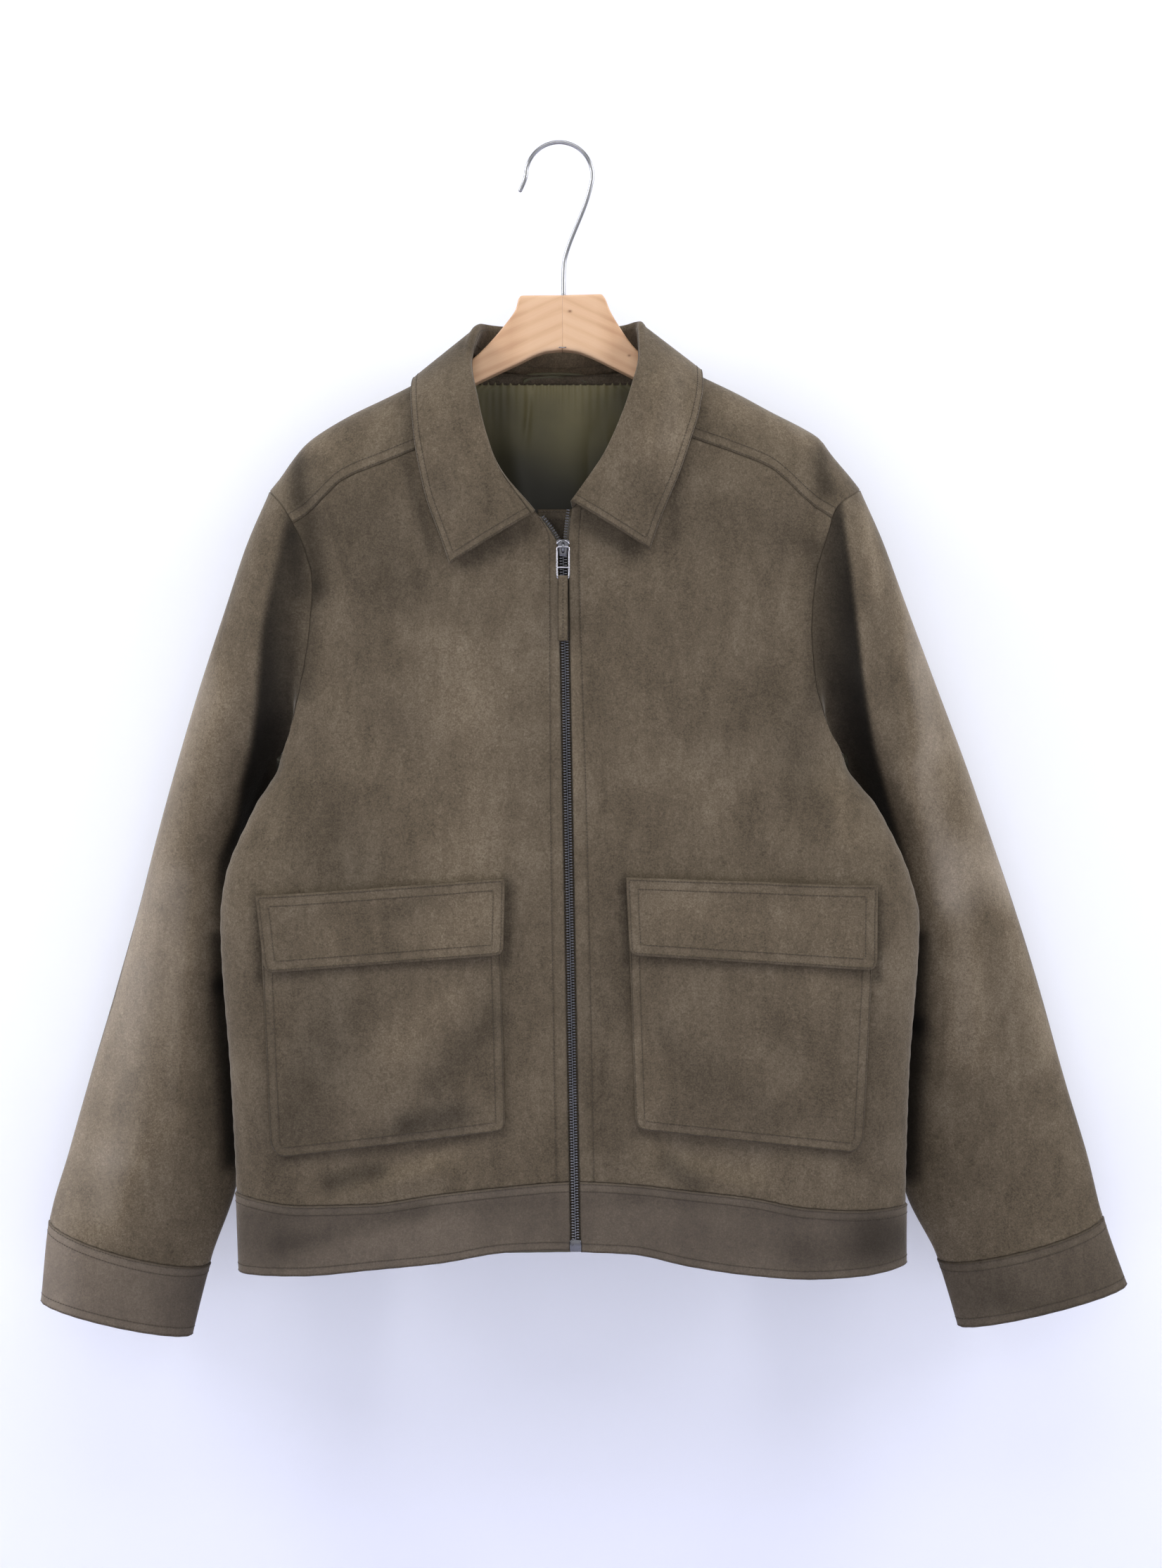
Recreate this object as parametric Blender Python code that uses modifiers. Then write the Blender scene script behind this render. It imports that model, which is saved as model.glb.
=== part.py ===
"""A zip-front shell jacket in brushed suede cloth, hung on a flat wooden hanger.

The jacket's body is one hollow form: a front sheet and a back sheet that meet in a rounded
fold at each side and in a rounded ridge over the hanger's arms. Every body panel is a patch
of that form. The sleeves are tubes through tilted oval rings that start at the armholes.
The origin is the inner top of the hook; +X is the wearer's left, -Y the front, +Z up.
"""
import math

import bmesh
import bpy
import numpy as np
from mathutils import Matrix

MM = 0.001

# Driving sizes, in millimetres
WALL = 1.8              # suede cloth
LINING_WALL = 1.2
LINING_CLEAR = 2.6      # between the back and its lining
PATCH_LIFT = 1.6        # from a front out to its pocket
BAND_LIFT = 0.6         # how far the waistband, of two layers, stands proud
LEAF_LIFT = 2.2         # from the body out to the edge of the collar's leaf
TAPE_WALL = 0.8
SEAM_GAP = 0.3          # between neighbouring pieces
FOLD_POWER = 6.0        # how flat the body is before it turns at the side folds
RIDGE_DEPTH = 100.0     # height over which the shoulders round out from the ridge
ZIP_HALF_GAP = 4.0      # from the zip's middle line to each front edge
ZIP_TOP, ZIP_BOTTOM = -318.0, -857.0
ZIP_TOP_X, ZIP_LEAN = 3.3, 0.018        # its middle at the top; sideways for each unit down
ZIP_OPENING, ZIP_SWEEP = 26.0, 1.3      # height over which the fronts part; how they curve
HEM_SIDE_Z, HEM_ZIP_Z = -815.0, -804.0  # heights at which the hem seam's ends are looked up
HEM_SAG = 4.0
CORNER_ROUND = dict(pocket=(10.0, 14.0), flap=(9.0, 9.0))   # by the zip, by the side
WOOD_THICKNESS, WOOD_ROUND = 14.0, 1.5
HOOK_RADIUS, HOOK_WIRE = 26.0, 1.6
SHANK_X, SHANK_TOP, SHANK_FOOT = 3.4, -94.0, -118.2
WELD = 0.00001          # metres within which points of one piece are merged

FRONT, BACK = -1.0, 1.0
LEFT, RIGHT = -1.0, 1.0

# The hollow form of the body by height: side folds, depths from the middle, how far back
# the side folds lie (negative is forward)
BODY = dict(
    z=[-882, -815, -730, -605, -575, -520, -480, -425, -345, -300, -150],
    left=[-247, -249, -253, -261, -258, -237, -217, -230, -246, -250, -250],
    right=[268, 268, 270, 278, 272, 248, 222, 233, 252, 257, 257],
    front=[47, 50, 52, 52, 52, 50, 49, 48, 47, 46, 40],
    back=[41, 44, 46, 46, 46, 45, 44, 43, 42, 42, 40],
    side=[-20, -22, -25, -26, -24, -14, -6, -3, -1, 0, 0])

# Top line of the shoulders, over the hanger's arms
RIDGE = dict(
    x=[-226, -217, -208, -198, -188, -161, -136, -114, -71, -40, 40, 70, 112, 139, 165, 194,
       203, 212, 228, 235],
    z=[-272, -261, -248, -236, -228, -212, -200, -189, -165, -159, -159, -163, -183, -196, -210,
       -225, -231, -243, -262, -271])

# Armhole seams, from the underarm up to the shoulder point
ARMHOLE = {
    LEFT: dict(z=[-480, -470, -428, -380, -347, -320, -300, -285, -272],
               x=[-217, -211.5, -199, -191, -189, -195, -204.5, -214, -226]),
    RIGHT: dict(z=[-480, -455, -421, -382, -342, -307, -289, -271],
                x=[222, 207, 197, 194, 197, 207, 213, 235])}

# Waistband: its seam and its lower edge across the front, from the left fold to the right
HEM = dict(
    x=[-249, -198, -145, -93, -40, 0, 14, 55, 100, 145, 190, 230, 268],
    seam=[-815, -822, -821, -814, -808, -804.5, -804, -806, -811, -816, -824, -826, -824],
    low=[-877, -876.5, -872, -867, -858.5, -857, -858, -860, -869.5, -876, -879, -877, -871])

# Each front's guide levels: heights at the zip edge, the pocket's inner and outer edges and
# the side, the pocket edges' x, and how far the level sags between the pocket edges
FRONT_LEVELS = {
    LEFT: dict(
        level=["pocket_low", "flap_low", "flap_top", "underarm", "chest", "shoulder", "top"],
        zip_z=[-760, -626, -567, -474, -400, -345, -292],
        inner_x=[-46, -42.5, -40.5, -46, -52, -57, -66],
        inner_z=[-765, -631, -572, -474, -392, -322, -226],
        outer_x=[-219.5, -223, -229.5, -204, -184, -180, -190],
        outer_z=[-784, -644.5, -586, -479, -398, -342, -289],
        edge_z=[-786, -646, -588, -480, -400, -347, -300],
        sag=[0, 0, 0, 0, 0, -2, -9]),
    RIGHT: dict(
        level=["pocket_low", "flap_low", "flap_top", "underarm", "chest", "shoulder", "top"],
        zip_z=[-759, -626, -567, -474, -400, -345, -290],
        inner_x=[58, 54, 51, 50, 48, 49, 62],
        inner_z=[-763, -631, -571, -474, -392, -318, -221],
        outer_x=[232, 241, 242, 208, 188, 187, 198],
        outer_z=[-782, -642.5, -578, -478, -396, -336, -286],
        edge_z=[-784, -644, -580, -480, -398, -341, -296],
        sag=[0, 0, 0, 0, 0, -2, -9])}
HEM_INNER_X = {LEFT: -46.0, RIGHT: 59.0}
HEM_OUTER_X = {LEFT: -219.0, RIGHT: 233.0}
ZIP_FLARE = {LEFT: 17.0, RIGHT: 3.0}    # how far each front edge opens above the slider

# Where the grid's rows lie between two levels, upwards from the hem, and its columns between
# the guides, outwards from the zip
LEVEL_STEPS = [[0, 0.5], [0, 0.25, 0.5, 0.75], [0, 0.5], [0, 0.4, 0.75], [0, 0.09, 0.32, 0.64],
               [0, 0.5], [0, 0.36, 0.7]]
GUIDE_STEPS = [[0, 0.5], [0, 0.2, 0.4, 0.6, 0.8], [0, 0.5, 0.83, 1]]

# Sleeve rings from the armhole to the lower edge of the cuff: outer and inner end of each
# ring, how much further back the inner end lies, the ring's middle y, half its depth, how
# far its front dips along the sleeve
SLEEVE = {
    LEFT: dict(
        outer_x=[-226, -243, -262.5, -284, -303.5, -319.5, -334, -351, -371, -387, -400.5, -406],
        outer_z=[-272, -310, -365, -427, -490, -545, -600, -660, -730, -790, -843, -907],
        inner_x=[-217, -224, -227, -231, -237, -243, -247, -248, -249, -254, -274.7, -289],
        inner_z=[-480, -478, -498, -525, -555, -592, -634, -687, -755, -812, -876, -933],
        inner_back=[0, 8, 17, 20, 18, 14, 10, 6, 3, 0, 0, 0],
        middle_y=[0, 2, 9, 17, 23, 29, 32, 32, 27, 20, 12, 8],
        half_depth=[36, 41, 44, 44, 43, 42, 40, 37, 33, 28, 22, 20],
        dip=[0, 0, 0, 0, 0, 0, 0, 0, 0, 3, 9, 3]),
    RIGHT: dict(
        outer_x=[235, 251.5, 271, 296, 322, 342.5, 361.5, 381.5, 400, 417.5, 427, 445],
        outer_z=[-271, -307, -357, -421, -488, -545, -600, -665, -734, -796, -840, -894],
        inner_x=[222, 229.5, 233, 240, 248, 255, 260, 262, 265, 272, 297.7, 314],
        inner_z=[-480, -478, -498, -525, -556, -595, -640, -695, -762, -818, -873, -926],
        inner_back=[0, 8, 17, 20, 18, 14, 10, 6, 3, 0, 0, 0],
        middle_y=[0, 2, 9, 17, 23, 29, 32, 32, 27, 20, 12, 8],
        half_depth=[36, 41, 44, 44, 43, 42, 40, 37, 33, 28, 22, 20],
        dip=[0, 0, 0, 0, 0, 0, 0, 0, 0, 3, 8, 3])}
SLEEVE_RINGS = np.array([0, 0.4, 1, 2, 3, 4, 5, 6.3, 7.6, 9, 10])
CUFF_RINGS = np.array([10, 10.5, 11])

# Collar sections from the left end, round the back of the neck, to the right end: the neck
# seam, the fold and the leaf's edge
COLLAR = dict(
    neck_x=[-18.5, -45, -66, -71, -70, -62, -45, 0, 45, 62, 69, 70, 62, 41, 11],
    neck_z=[-292, -262, -226, -190, -164.5, -169, -177, -181, -177, -169, -162.5, -188, -221,
            -257, -290],
    fold_x=[-21.5, -51, -61.5, -68, -62, -57, -44, 0, 44, 55, 61, 61.5, 54, 37, 10],
    fold_y=[-51, -50, -46, -26, 0, 15, 25, 36, 25, 15, 0, -26, -46, -50, -51],
    fold_z=[-295.5, -252, -207, -172, -144, -140, -139, -138, -139, -139, -141, -166, -199, -244,
            -285],
    leaf_x=[-83.3, -103, -110.5, -113, -111, -104, -80, 0, 80, 102, 109, 110, 107, 95, 69.6],
    leaf_z=[-333, -275, -233, -200, -187, -190, -201, -208, -201, -188, -181.5, -195, -215, -255,
            -322])
RIDGE_SECTION = {LEFT: 4, RIGHT: 10}
CORNER_SECTION = {LEFT: 6, RIGHT: 8}
LEAF_BULGE = 5.0

# Soft troughs and swellings: two ends, half the width, the depth (positive swells out)
FOLDS = dict(
    name=["left dimple", "left chest", "right dimple", "right chest", "left pocket foot",
          "right pocket foot", "left hip", "right hip", "back middle", "back left",
          "back right"],
    face=[FRONT, FRONT, FRONT, FRONT, FRONT, FRONT, FRONT, FRONT, BACK, BACK, BACK],
    from_x=[-203, -186, 206, 186, -160, 150, -236, 250, -20, -120, 130],
    from_z=[-252, -310, -250, -310, -792, -790, -600, -600, -420, -330, -330],
    to_x=[-196, -172, 196, 176, -80, 75, -236, 250, -30, -150, 160],
    to_z=[-292, -420, -290, -420, -776, -774, -760, -760, -800, -700, -700],
    width=[14, 20, 14, 20, 16, 16, 18, 18, 45, 30, 30],
    depth=[-5, -4, -5, -4, -4, -4, 3, 3, -6, 4, 4])

COLOURS = dict(
    suede=(0.10, 0.080, 0.055, 0.92, 0.0),
    suede_band=(0.11, 0.088, 0.060, 0.92, 0.0),
    satin=(0.060, 0.065, 0.035, 0.45, 0.0),
    tape=(0.045, 0.038, 0.028, 0.85, 0.0),
    gunmetal=(0.10, 0.10, 0.11, 0.30, 1.0),
    wood=(0.75, 0.41, 0.19, 0.50, 0.0),
    chrome=(0.62, 0.62, 0.64, 0.15, 1.0))


# ---------------------------------------------------------------- curves through tables

def through(stations, values, at):
    """A smooth curve through the table's points that never overshoots them."""
    x = np.asarray(stations, float)
    y = np.asarray(values, float)
    at = np.clip(np.asarray(at, float), x[0], x[-1])
    step = np.diff(x)
    slope = np.diff(y) / step
    tangent = np.empty_like(y)
    tangent[0], tangent[-1] = slope[0], slope[-1]
    before, after = slope[:-1], slope[1:]
    same = before * after > 0
    total = np.where(same, before + after, 1.0)
    tangent[1:-1] = np.where(same, 2 * before * after / total, 0.0)
    i = np.clip(np.searchsorted(x, at, side="right") - 1, 0, len(step) - 1)
    h = step[i]
    t = (at - x[i]) / h
    return (y[i] * (1 + 2 * t) * (1 - t) ** 2 + tangent[i] * h * t * (1 - t) ** 2
            + y[i + 1] * t * t * (3 - 2 * t) + tangent[i + 1] * h * t * t * (t - 1))


def body_size(column, z):
    return through(BODY["z"], BODY[column], z)


def ridge_z(x):
    return through(RIDGE["x"], RIDGE["z"], x)


def armhole_x(side, z):
    return through(ARMHOLE[side]["z"], ARMHOLE[side]["x"], z)


def edge_x(side, z):
    """Outer edge of the body panels: the side fold, and above the underarm the armhole."""
    z = np.asarray(z, float)
    fold = body_size("left" if side == LEFT else "right", z)
    return np.where(z < ARMHOLE[side]["z"][0], fold, armhole_x(side, z))


def zip_x(z):
    """The zip's middle line, which leans a little to the wearer's left on its way down."""
    return ZIP_TOP_X - ZIP_LEAN * (np.asarray(z, float) - ZIP_TOP)


def zip_edge_x(side, z):
    open_part = np.clip((np.asarray(z, float) - ZIP_TOP) / ZIP_OPENING, 0.0, None) ** ZIP_SWEEP
    return zip_x(z) + side * (ZIP_HALF_GAP + ZIP_FLARE[side] * open_part)


def fold_offset(face, x, z):
    """Sum of the soft troughs and swellings of one face at x, z, outwards."""
    total = np.zeros(np.broadcast(x, z).shape)
    for row in range(len(FOLDS["name"])):
        ax, az = FOLDS["from_x"][row], FOLDS["from_z"][row]
        bx, bz = FOLDS["to_x"][row], FOLDS["to_z"][row]
        span = (bx - ax) ** 2 + (bz - az) ** 2
        t = np.clip(((x - ax) * (bx - ax) + (z - az) * (bz - az)) / span, 0.0, 1.0)
        away = np.hypot(x - ax - t * (bx - ax), z - az - t * (bz - az))
        bump = FOLDS["depth"][row] * np.exp(-(away / FOLDS["width"][row]) ** 2)
        total = total + np.where(np.asarray(face) == FOLDS["face"][row], bump, 0.0)
    return total


def body_terms(face, x, z):
    left, right = body_size("left", z), body_size("right", z)
    across = np.clip((x - (left + right) / 2) / ((right - left) / 2), -1.0, 1.0)
    middle = body_size("side", z) * across ** 4
    depth = np.where(np.asarray(face) == FRONT, body_size("front", z), body_size("back", z))
    below = np.clip((ridge_z(x) - z) / RIDGE_DEPTH, 0.0, 1.0)
    round_off = (1 - np.abs(across) ** FOLD_POWER) * (1 - (1 - below) ** 3)
    return middle, depth, round_off


def body_points(face, x, z):
    """Points of the body's outer surface over x, z."""
    face, x, z = np.broadcast_arrays(np.asarray(face, float), x, z)
    middle, depth, round_off = body_terms(face, x, z)
    open_out = np.sqrt(round_off)
    y = middle + face * (depth + fold_offset(face, x, z)) * open_out
    return np.stack([x, y, z], axis=-1).astype(float)


def body_normals(face, points):
    """Outward direction there: the slope of the function whose zero level is the body."""
    def level(p):
        middle, depth, round_off = body_terms(face, p[..., 0], p[..., 2])
        depth = depth + fold_offset(face, p[..., 0], p[..., 2])
        return ((p[..., 1] - middle) / depth) ** 2 - round_off
    return level_normals(level, points)


def level_normals(level, points, step=0.4):
    slopes = []
    for axis in range(3):
        shift = np.zeros(3)
        shift[axis] = step
        slopes.append(level(points + shift) - level(points - shift))
    normal = np.stack(slopes, axis=-1)
    return normal / np.linalg.norm(normal, axis=-1, keepdims=True)


# ---------------------------------------------------------------- pieces as solids

def material(name):
    found = bpy.data.materials.get(name)
    if found:
        return found
    red, green, blue, roughness, metallic = COLOURS[name]
    made = bpy.data.materials.new(name)
    made.use_nodes = True
    shader = made.node_tree.nodes["Principled BSDF"]
    shader.inputs["Base Color"].default_value = (red, green, blue, 1.0)
    shader.inputs["Roughness"].default_value = roughness
    shader.inputs["Metallic"].default_value = metallic
    made.diffuse_color = (red, green, blue, 1.0)
    return made


def place(name, mesh, colour, smooth=True):
    made = bpy.data.objects.new(name, mesh)
    bpy.data.collections["shell_jacket"].objects.link(made)
    mesh.materials.append(material(colour))
    if smooth:
        mesh.shade_smooth()
        mesh.set_sharp_from_angle(angle=math.radians(50))
    return made


def wall(name, outer, inner, colour, ring=False):
    """A closed wall between an outer and an inner grid of points; ring joins the columns."""
    rows, columns = outer.shape[:2]
    points = np.concatenate([outer.reshape(-1, 3), inner.reshape(-1, 3)]) * MM
    half = rows * columns
    faces = []
    last = columns if ring else columns - 1
    for r in range(rows - 1):
        for c in range(last):
            d = (c + 1) % columns
            quad = [r * columns + c, r * columns + d, (r + 1) * columns + d, (r + 1) * columns + c]
            down = np.linalg.norm(outer[r, c] - outer[r + 1, d])
            up = np.linalg.norm(outer[r, d] - outer[r + 1, c])
            corners = quad if down <= up else quad[1:] + quad[:1]
            for k in (1, 2):
                triangle = [corners[0], corners[k], corners[k + 1]]
                faces.append(triangle)
                faces.append([half + i for i in reversed(triangle)])
    rims = [[(0, c) for c in range(columns)], [(rows - 1, c) for c in reversed(range(columns))]]
    if ring:
        rims = [rim + rim[:1] for rim in rims]
    else:
        rims = [rims[0] + [(r, columns - 1) for r in range(1, rows)]
                + rims[1][1:] + [(r, 0) for r in reversed(range(rows - 1))]]
    for rim in rims:
        for (r0, c0), (r1, c1) in zip(rim[:-1], rim[1:]):
            a, b = r0 * columns + c0, r1 * columns + c1
            faces.append([b, a, half + a, half + b])
    mesh = bpy.data.meshes.new(name)
    mesh.from_pydata([tuple(p) for p in points], [], faces)
    edit = bmesh.new()
    edit.from_mesh(mesh)
    bmesh.ops.recalc_face_normals(edit, faces=edit.faces)
    edit.to_mesh(mesh)
    edit.free()
    return place(name, mesh, colour)


def ease(grid, first_row=False, last_row=False, first_column=False, last_column=False,
         gap=SEAM_GAP / 2):
    """Draw the named edges of a grid back by half a seam gap, along the surface."""
    eased = grid.copy()

    def draw(edge, inside):
        away = inside - edge
        return edge + away / np.linalg.norm(away, axis=-1, keepdims=True) * gap

    if first_row:
        eased[0] = draw(grid[0], grid[1])
    if last_row:
        eased[-1] = draw(grid[-1], grid[-2])
    if first_column:
        eased[:, 0] = draw(eased[:, 0], eased[:, 1])
    if last_column:
        eased[:, -1] = draw(eased[:, -1], eased[:, -2])
    return eased


def body_wall(name, face, grid, colour, thick=WALL, lift=0.0):
    """A wall on the body's surface; lift raises it off the surface (negative: inside)."""
    out = body_normals(face, grid)
    return wall(name, grid + out * lift, grid + out * (lift - thick), colour)


# ---------------------------------------------------------------- fronts and what is on them

def spread(steps):
    """Places along a table's rows: steps[i] holds the fractions between rows i and i + 1."""
    parts = [row + fraction for row, fractions in enumerate(steps) for fraction in fractions]
    return np.array(parts + [len(steps)], float)


def neck_point(section):
    """The neck seam's x and z at a place along the collar's table."""
    rows = np.arange(len(COLLAR["neck_x"]))
    return np.array([through(rows, COLLAR["neck_x"], section),
                     through(rows, COLLAR["neck_z"], section)])


def hem_seam_z(x):
    return float(through(HEM["x"], HEM["seam"], x))


def front_grid(side):
    """The front's grid of x, z: rows from the waistband up, columns from the zip outwards."""
    levels = FRONT_LEVELS[side]
    hem_inner, hem_outer = HEM_INNER_X[side], HEM_OUTER_X[side]
    hem_edge = edge_x(side, HEM_SIDE_Z)
    first = dict(zip_z=hem_seam_z(zip_x(HEM_ZIP_Z)), sag=HEM_SAG,
                 inner_x=hem_inner, inner_z=hem_seam_z(hem_inner),
                 outer_x=hem_outer, outer_z=hem_seam_z(hem_outer), edge_z=hem_seam_z(hem_edge))
    station = np.arange(len(levels["level"]) + 1)
    rows = spread(LEVEL_STEPS)
    line = {key: through(station, [value] + levels[key], rows) for key, value in first.items()}
    guide_z = [line["zip_z"], line["inner_z"], line["outer_z"], line["edge_z"]]
    guide_x = [zip_edge_x(side, line["zip_z"]), line["inner_x"], line["outer_x"],
               edge_x(side, line["edge_z"])]
    columns_x, columns_z = [], []
    for band, fractions in enumerate(GUIDE_STEPS):
        for f in fractions:
            columns_x.append(guide_x[band] * (1 - f) + guide_x[band + 1] * f)
            sag = line["sag"] * math.sin(math.pi * f) if band == 1 else 0.0
            columns_z.append(guide_z[band] * (1 - f) + guide_z[band + 1] * f - sag)
    grid = np.stack([np.stack(columns_x, axis=1), np.stack(columns_z, axis=1)], axis=-1)
    ends = (0, 1, 2) if side == LEFT else (14, 13, 12)
    for column, section in enumerate(ends):
        grid[-1, column] = neck_point(section)
    return grid


def level_row(name, side):
    return sum(len(part) for part in LEVEL_STEPS[:FRONT_LEVELS[side]["level"].index(name) + 1])


def cut_corner(grid, row, column, size):
    """Draw a corner of a patch in to the middle of a rounding of that size."""
    r = 1 if row == 0 else -2
    c = 1 if column == 0 else -2
    share = size * (1 - math.sqrt(0.5))
    for near in (grid[r, column], grid[row, c]):
        away = near - grid[row, column]
        grid[row, column] += away / np.linalg.norm(away) * share


def make_fronts():
    for side, tag in ((LEFT, "left"), (RIGHT, "right")):
        flat = front_grid(side)
        grid = body_points(FRONT, flat[..., 0], flat[..., 1])
        panel = ease(grid, first_row=True, last_row=True, last_column=True)
        body_wall("front_" + tag, FRONT, panel, "suede")

        first, last = len(GUIDE_STEPS[0]), len(GUIDE_STEPS[0]) + len(GUIDE_STEPS[1])
        low, lip, top = (level_row(n, side) for n in ("pocket_low", "flap_low", "flap_top"))
        patch = grid[low:lip + 2, first:last + 1].copy()
        cut_corner(patch, 0, 0, CORNER_ROUND["pocket"][0])
        cut_corner(patch, 0, -1, CORNER_ROUND["pocket"][1])
        body_wall("pocket_" + tag, FRONT, patch, "suede", lift=PATCH_LIFT + WALL)
        flap = grid[lip:top + 1, first:last + 1].copy()
        cut_corner(flap, 0, 0, CORNER_ROUND["flap"][0])
        cut_corner(flap, 0, -1, CORNER_ROUND["flap"][1])
        body_wall("flap_" + tag, FRONT, flap, "suede_band",
                  lift=PATCH_LIFT + SEAM_GAP + 2 * WALL)


# Places across the back from side fold to side fold, closer together where it turns
BACK_SHARES = np.array([0, 0.012, 0.035, 0.075, 0.14, 0.24, 0.36, 0.5, 0.64, 0.76, 0.86, 0.925,
                        0.965, 0.988, 1])


def make_back():
    rows = {side: back_edge_z(side) for side in (LEFT, RIGHT)}
    share = BACK_SHARES
    left_z, right_z = rows[LEFT][:, None], rows[RIGHT][:, None]
    z = left_z * (1 - share) + right_z * share
    x = edge_x(LEFT, left_z) * (1 - share) + edge_x(RIGHT, right_z) * share
    grid = body_points(BACK, x, z)
    body_wall("back", BACK, ease(grid, True, True, True, True), "suede")


def back_edge_z(side):
    heights = [hem_seam_z(edge_x(side, HEM_SIDE_Z))] + FRONT_LEVELS[side]["edge_z"]
    return through(np.arange(len(heights)), heights, spread(LEVEL_STEPS))


EASE_IN = np.array([0.0, 0.3, 0.58, 0.82, 1.0])     # from a yoke seam up to the ridge


def yoke_edge_z(side):
    """Heights at which the yoke's stations meet the armhole, seam to shoulder point."""
    seam, tip = FRONT_LEVELS[side]["edge_z"][-1], ARMHOLE[side]["z"][-1]
    return tip + (seam - tip) * (1 - EASE_IN) ** 2


def make_yoke():
    """A horseshoe: stations from the left front seam, over the ridge, round the back neck and
    down to the right front seam; each runs from the neck to the armhole or the back seam."""
    halves = {}
    middle_z = sum(FRONT_LEVELS[side]["edge_z"][-1] for side in (LEFT, RIGHT)) / 2
    for side in (LEFT, RIGHT):
        seam = front_grid(side)[-1][len(GUIDE_STEPS[0]):]
        across = (seam[:, 0] - seam[0, 0]) / (seam[-1, 0] - seam[0, 0])
        tip_x, edge_z = ARMHOLE[side]["x"][-1], FRONT_LEVELS[side]["edge_z"][-1]
        front_section = 2 if side == LEFT else 12
        corner = neck_point(CORNER_SECTION[side])
        stations = []
        for face, first_section, seam_x, seam_z in (
                (FRONT, front_section, seam[:, 0], seam[:, 1]),
                (BACK, CORNER_SECTION[side],
                 corner[0] + (edge_x(side, edge_z) - corner[0]) * across,
                 corner[1] + (edge_z - corner[1]) * across)):
            seam_depth = ridge_z(seam_x) - seam_z
            part = []
            for f, outer_z in zip(EASE_IN, yoke_edge_z(side)):
                outer_x = edge_x(side, outer_z) if f < 1 else tip_x
                section = first_section + (RIDGE_SECTION[side] - first_section) * f
                inner_x, inner_z = neck_point(section)
                x = inner_x * (1 - across) + outer_x * across
                inner_share = (ridge_z(inner_x) - inner_z) / seam_depth[0]
                outer_share = (ridge_z(outer_x) - outer_z) / seam_depth[-1]
                share = inner_share * (1 - across) + outer_share * across
                part.append((face, x, ridge_z(x) - seam_depth * share))
            stations.append(part)
        ordered = stations[0] + stations[1][-2::-1]
        for f in (0.36, 0.68):
            inner = neck_point(CORNER_SECTION[side] + (7 - CORNER_SECTION[side]) * f)
            outer_x = edge_x(side, edge_z) * (1 - f)
            outer_z = edge_z * (1 - f) + middle_z * f
            ordered.append((BACK, inner[0] * (1 - across) + outer_x * across,
                            inner[1] * (1 - across) + outer_z * across))
        halves[side] = ordered
    back_neck = neck_point(7)
    middle = [(BACK, 0 * across, back_neck[1] * (1 - across) + middle_z * across)]
    stations = halves[LEFT] + middle + halves[RIGHT][::-1]
    grid = np.stack([body_points(face, x, z) for face, x, z in stations])
    out = np.stack([body_normals(face, row) for (face, _, _), row in zip(stations, grid)])
    eased = ease(grid, True, True, False, True)
    wall("yoke", eased, eased - out * WALL, "suede")


def make_waistband():
    parts = []
    for side in (LEFT, RIGHT):
        top = front_grid(side)[0]
        low_z = through(HEM["x"], HEM["low"], top[:, 0])
        parts.append((FRONT, top[:, 0], top[:, 1], low_z))
    left, right = parts
    share = BACK_SHARES[1:-1]
    back_x = left[1][-1] * (1 - share) + right[1][-1] * share
    back_top = left[2][-1] * (1 - share) + right[2][-1] * share
    back_low = left[3][-1] * (1 - share) + right[3][-1] * share
    order = [left, (BACK, back_x, back_top, back_low),
             (FRONT, right[1][::-1], right[2][::-1], right[3][::-1])]
    grids, normals = [], []
    for face, x, top_z, low_z in order:
        down = np.array([0.0, 0.5, 1.0])[:, None]
        z = top_z * (1 - down) + low_z * down
        top_left, top_right = left[1][-1], right[1][-1]
        from_zip = np.where(x < zip_x(top_z), (zip_x(top_z) - x) / (zip_x(top_z) - top_left),
                            (x - zip_x(top_z)) / (top_right - zip_x(top_z)))
        lean = zip_x(z) - zip_x(top_z)
        side_lean = np.where(x < zip_x(top_z), edge_x(LEFT, z) - edge_x(LEFT, top_z),
                             edge_x(RIGHT, z) - edge_x(RIGHT, top_z))
        grid = body_points(face, x + lean * (1 - from_zip) + side_lean * from_zip, z)
        grids.append(grid)
        normals.append(body_normals(face, grid))
    grid = np.concatenate(grids, axis=1)
    out = np.concatenate(normals, axis=1)
    eased = ease(grid, first_row=True)
    wall("waistband", eased + out * BAND_LIFT, eased - out * WALL, "suede_band")


# ---------------------------------------------------------------- sleeves

def armhole_loop(side, around):
    """The armhole, from the shoulder point down the front and up the back."""
    turn = np.mod(around, 2 * math.pi)
    low, top = ARMHOLE[side]["z"][0], ARMHOLE[side]["z"][-1]
    z = top + (low - top) * (1 - np.cos(turn)) / 2
    face = np.where(turn <= math.pi, FRONT, BACK)
    return body_points(face, armhole_x(side, z), z)


def armhole_turns(side):
    """Where the panels' rows meet the armhole, as turns round the sleeve."""
    low, top = ARMHOLE[side]["z"][0], ARMHOLE[side]["z"][-1]
    rows = back_edge_z(side)
    met = np.concatenate([yoke_edge_z(side)[::-1], rows[::-1][1:]])
    met = met[met > low + 0.5]
    half = np.arccos(np.clip(1 - 2 * (top - met) / (top - low), -1, 1))
    return np.concatenate([half, [math.pi], 2 * math.pi - half[:0:-1]])


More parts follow.
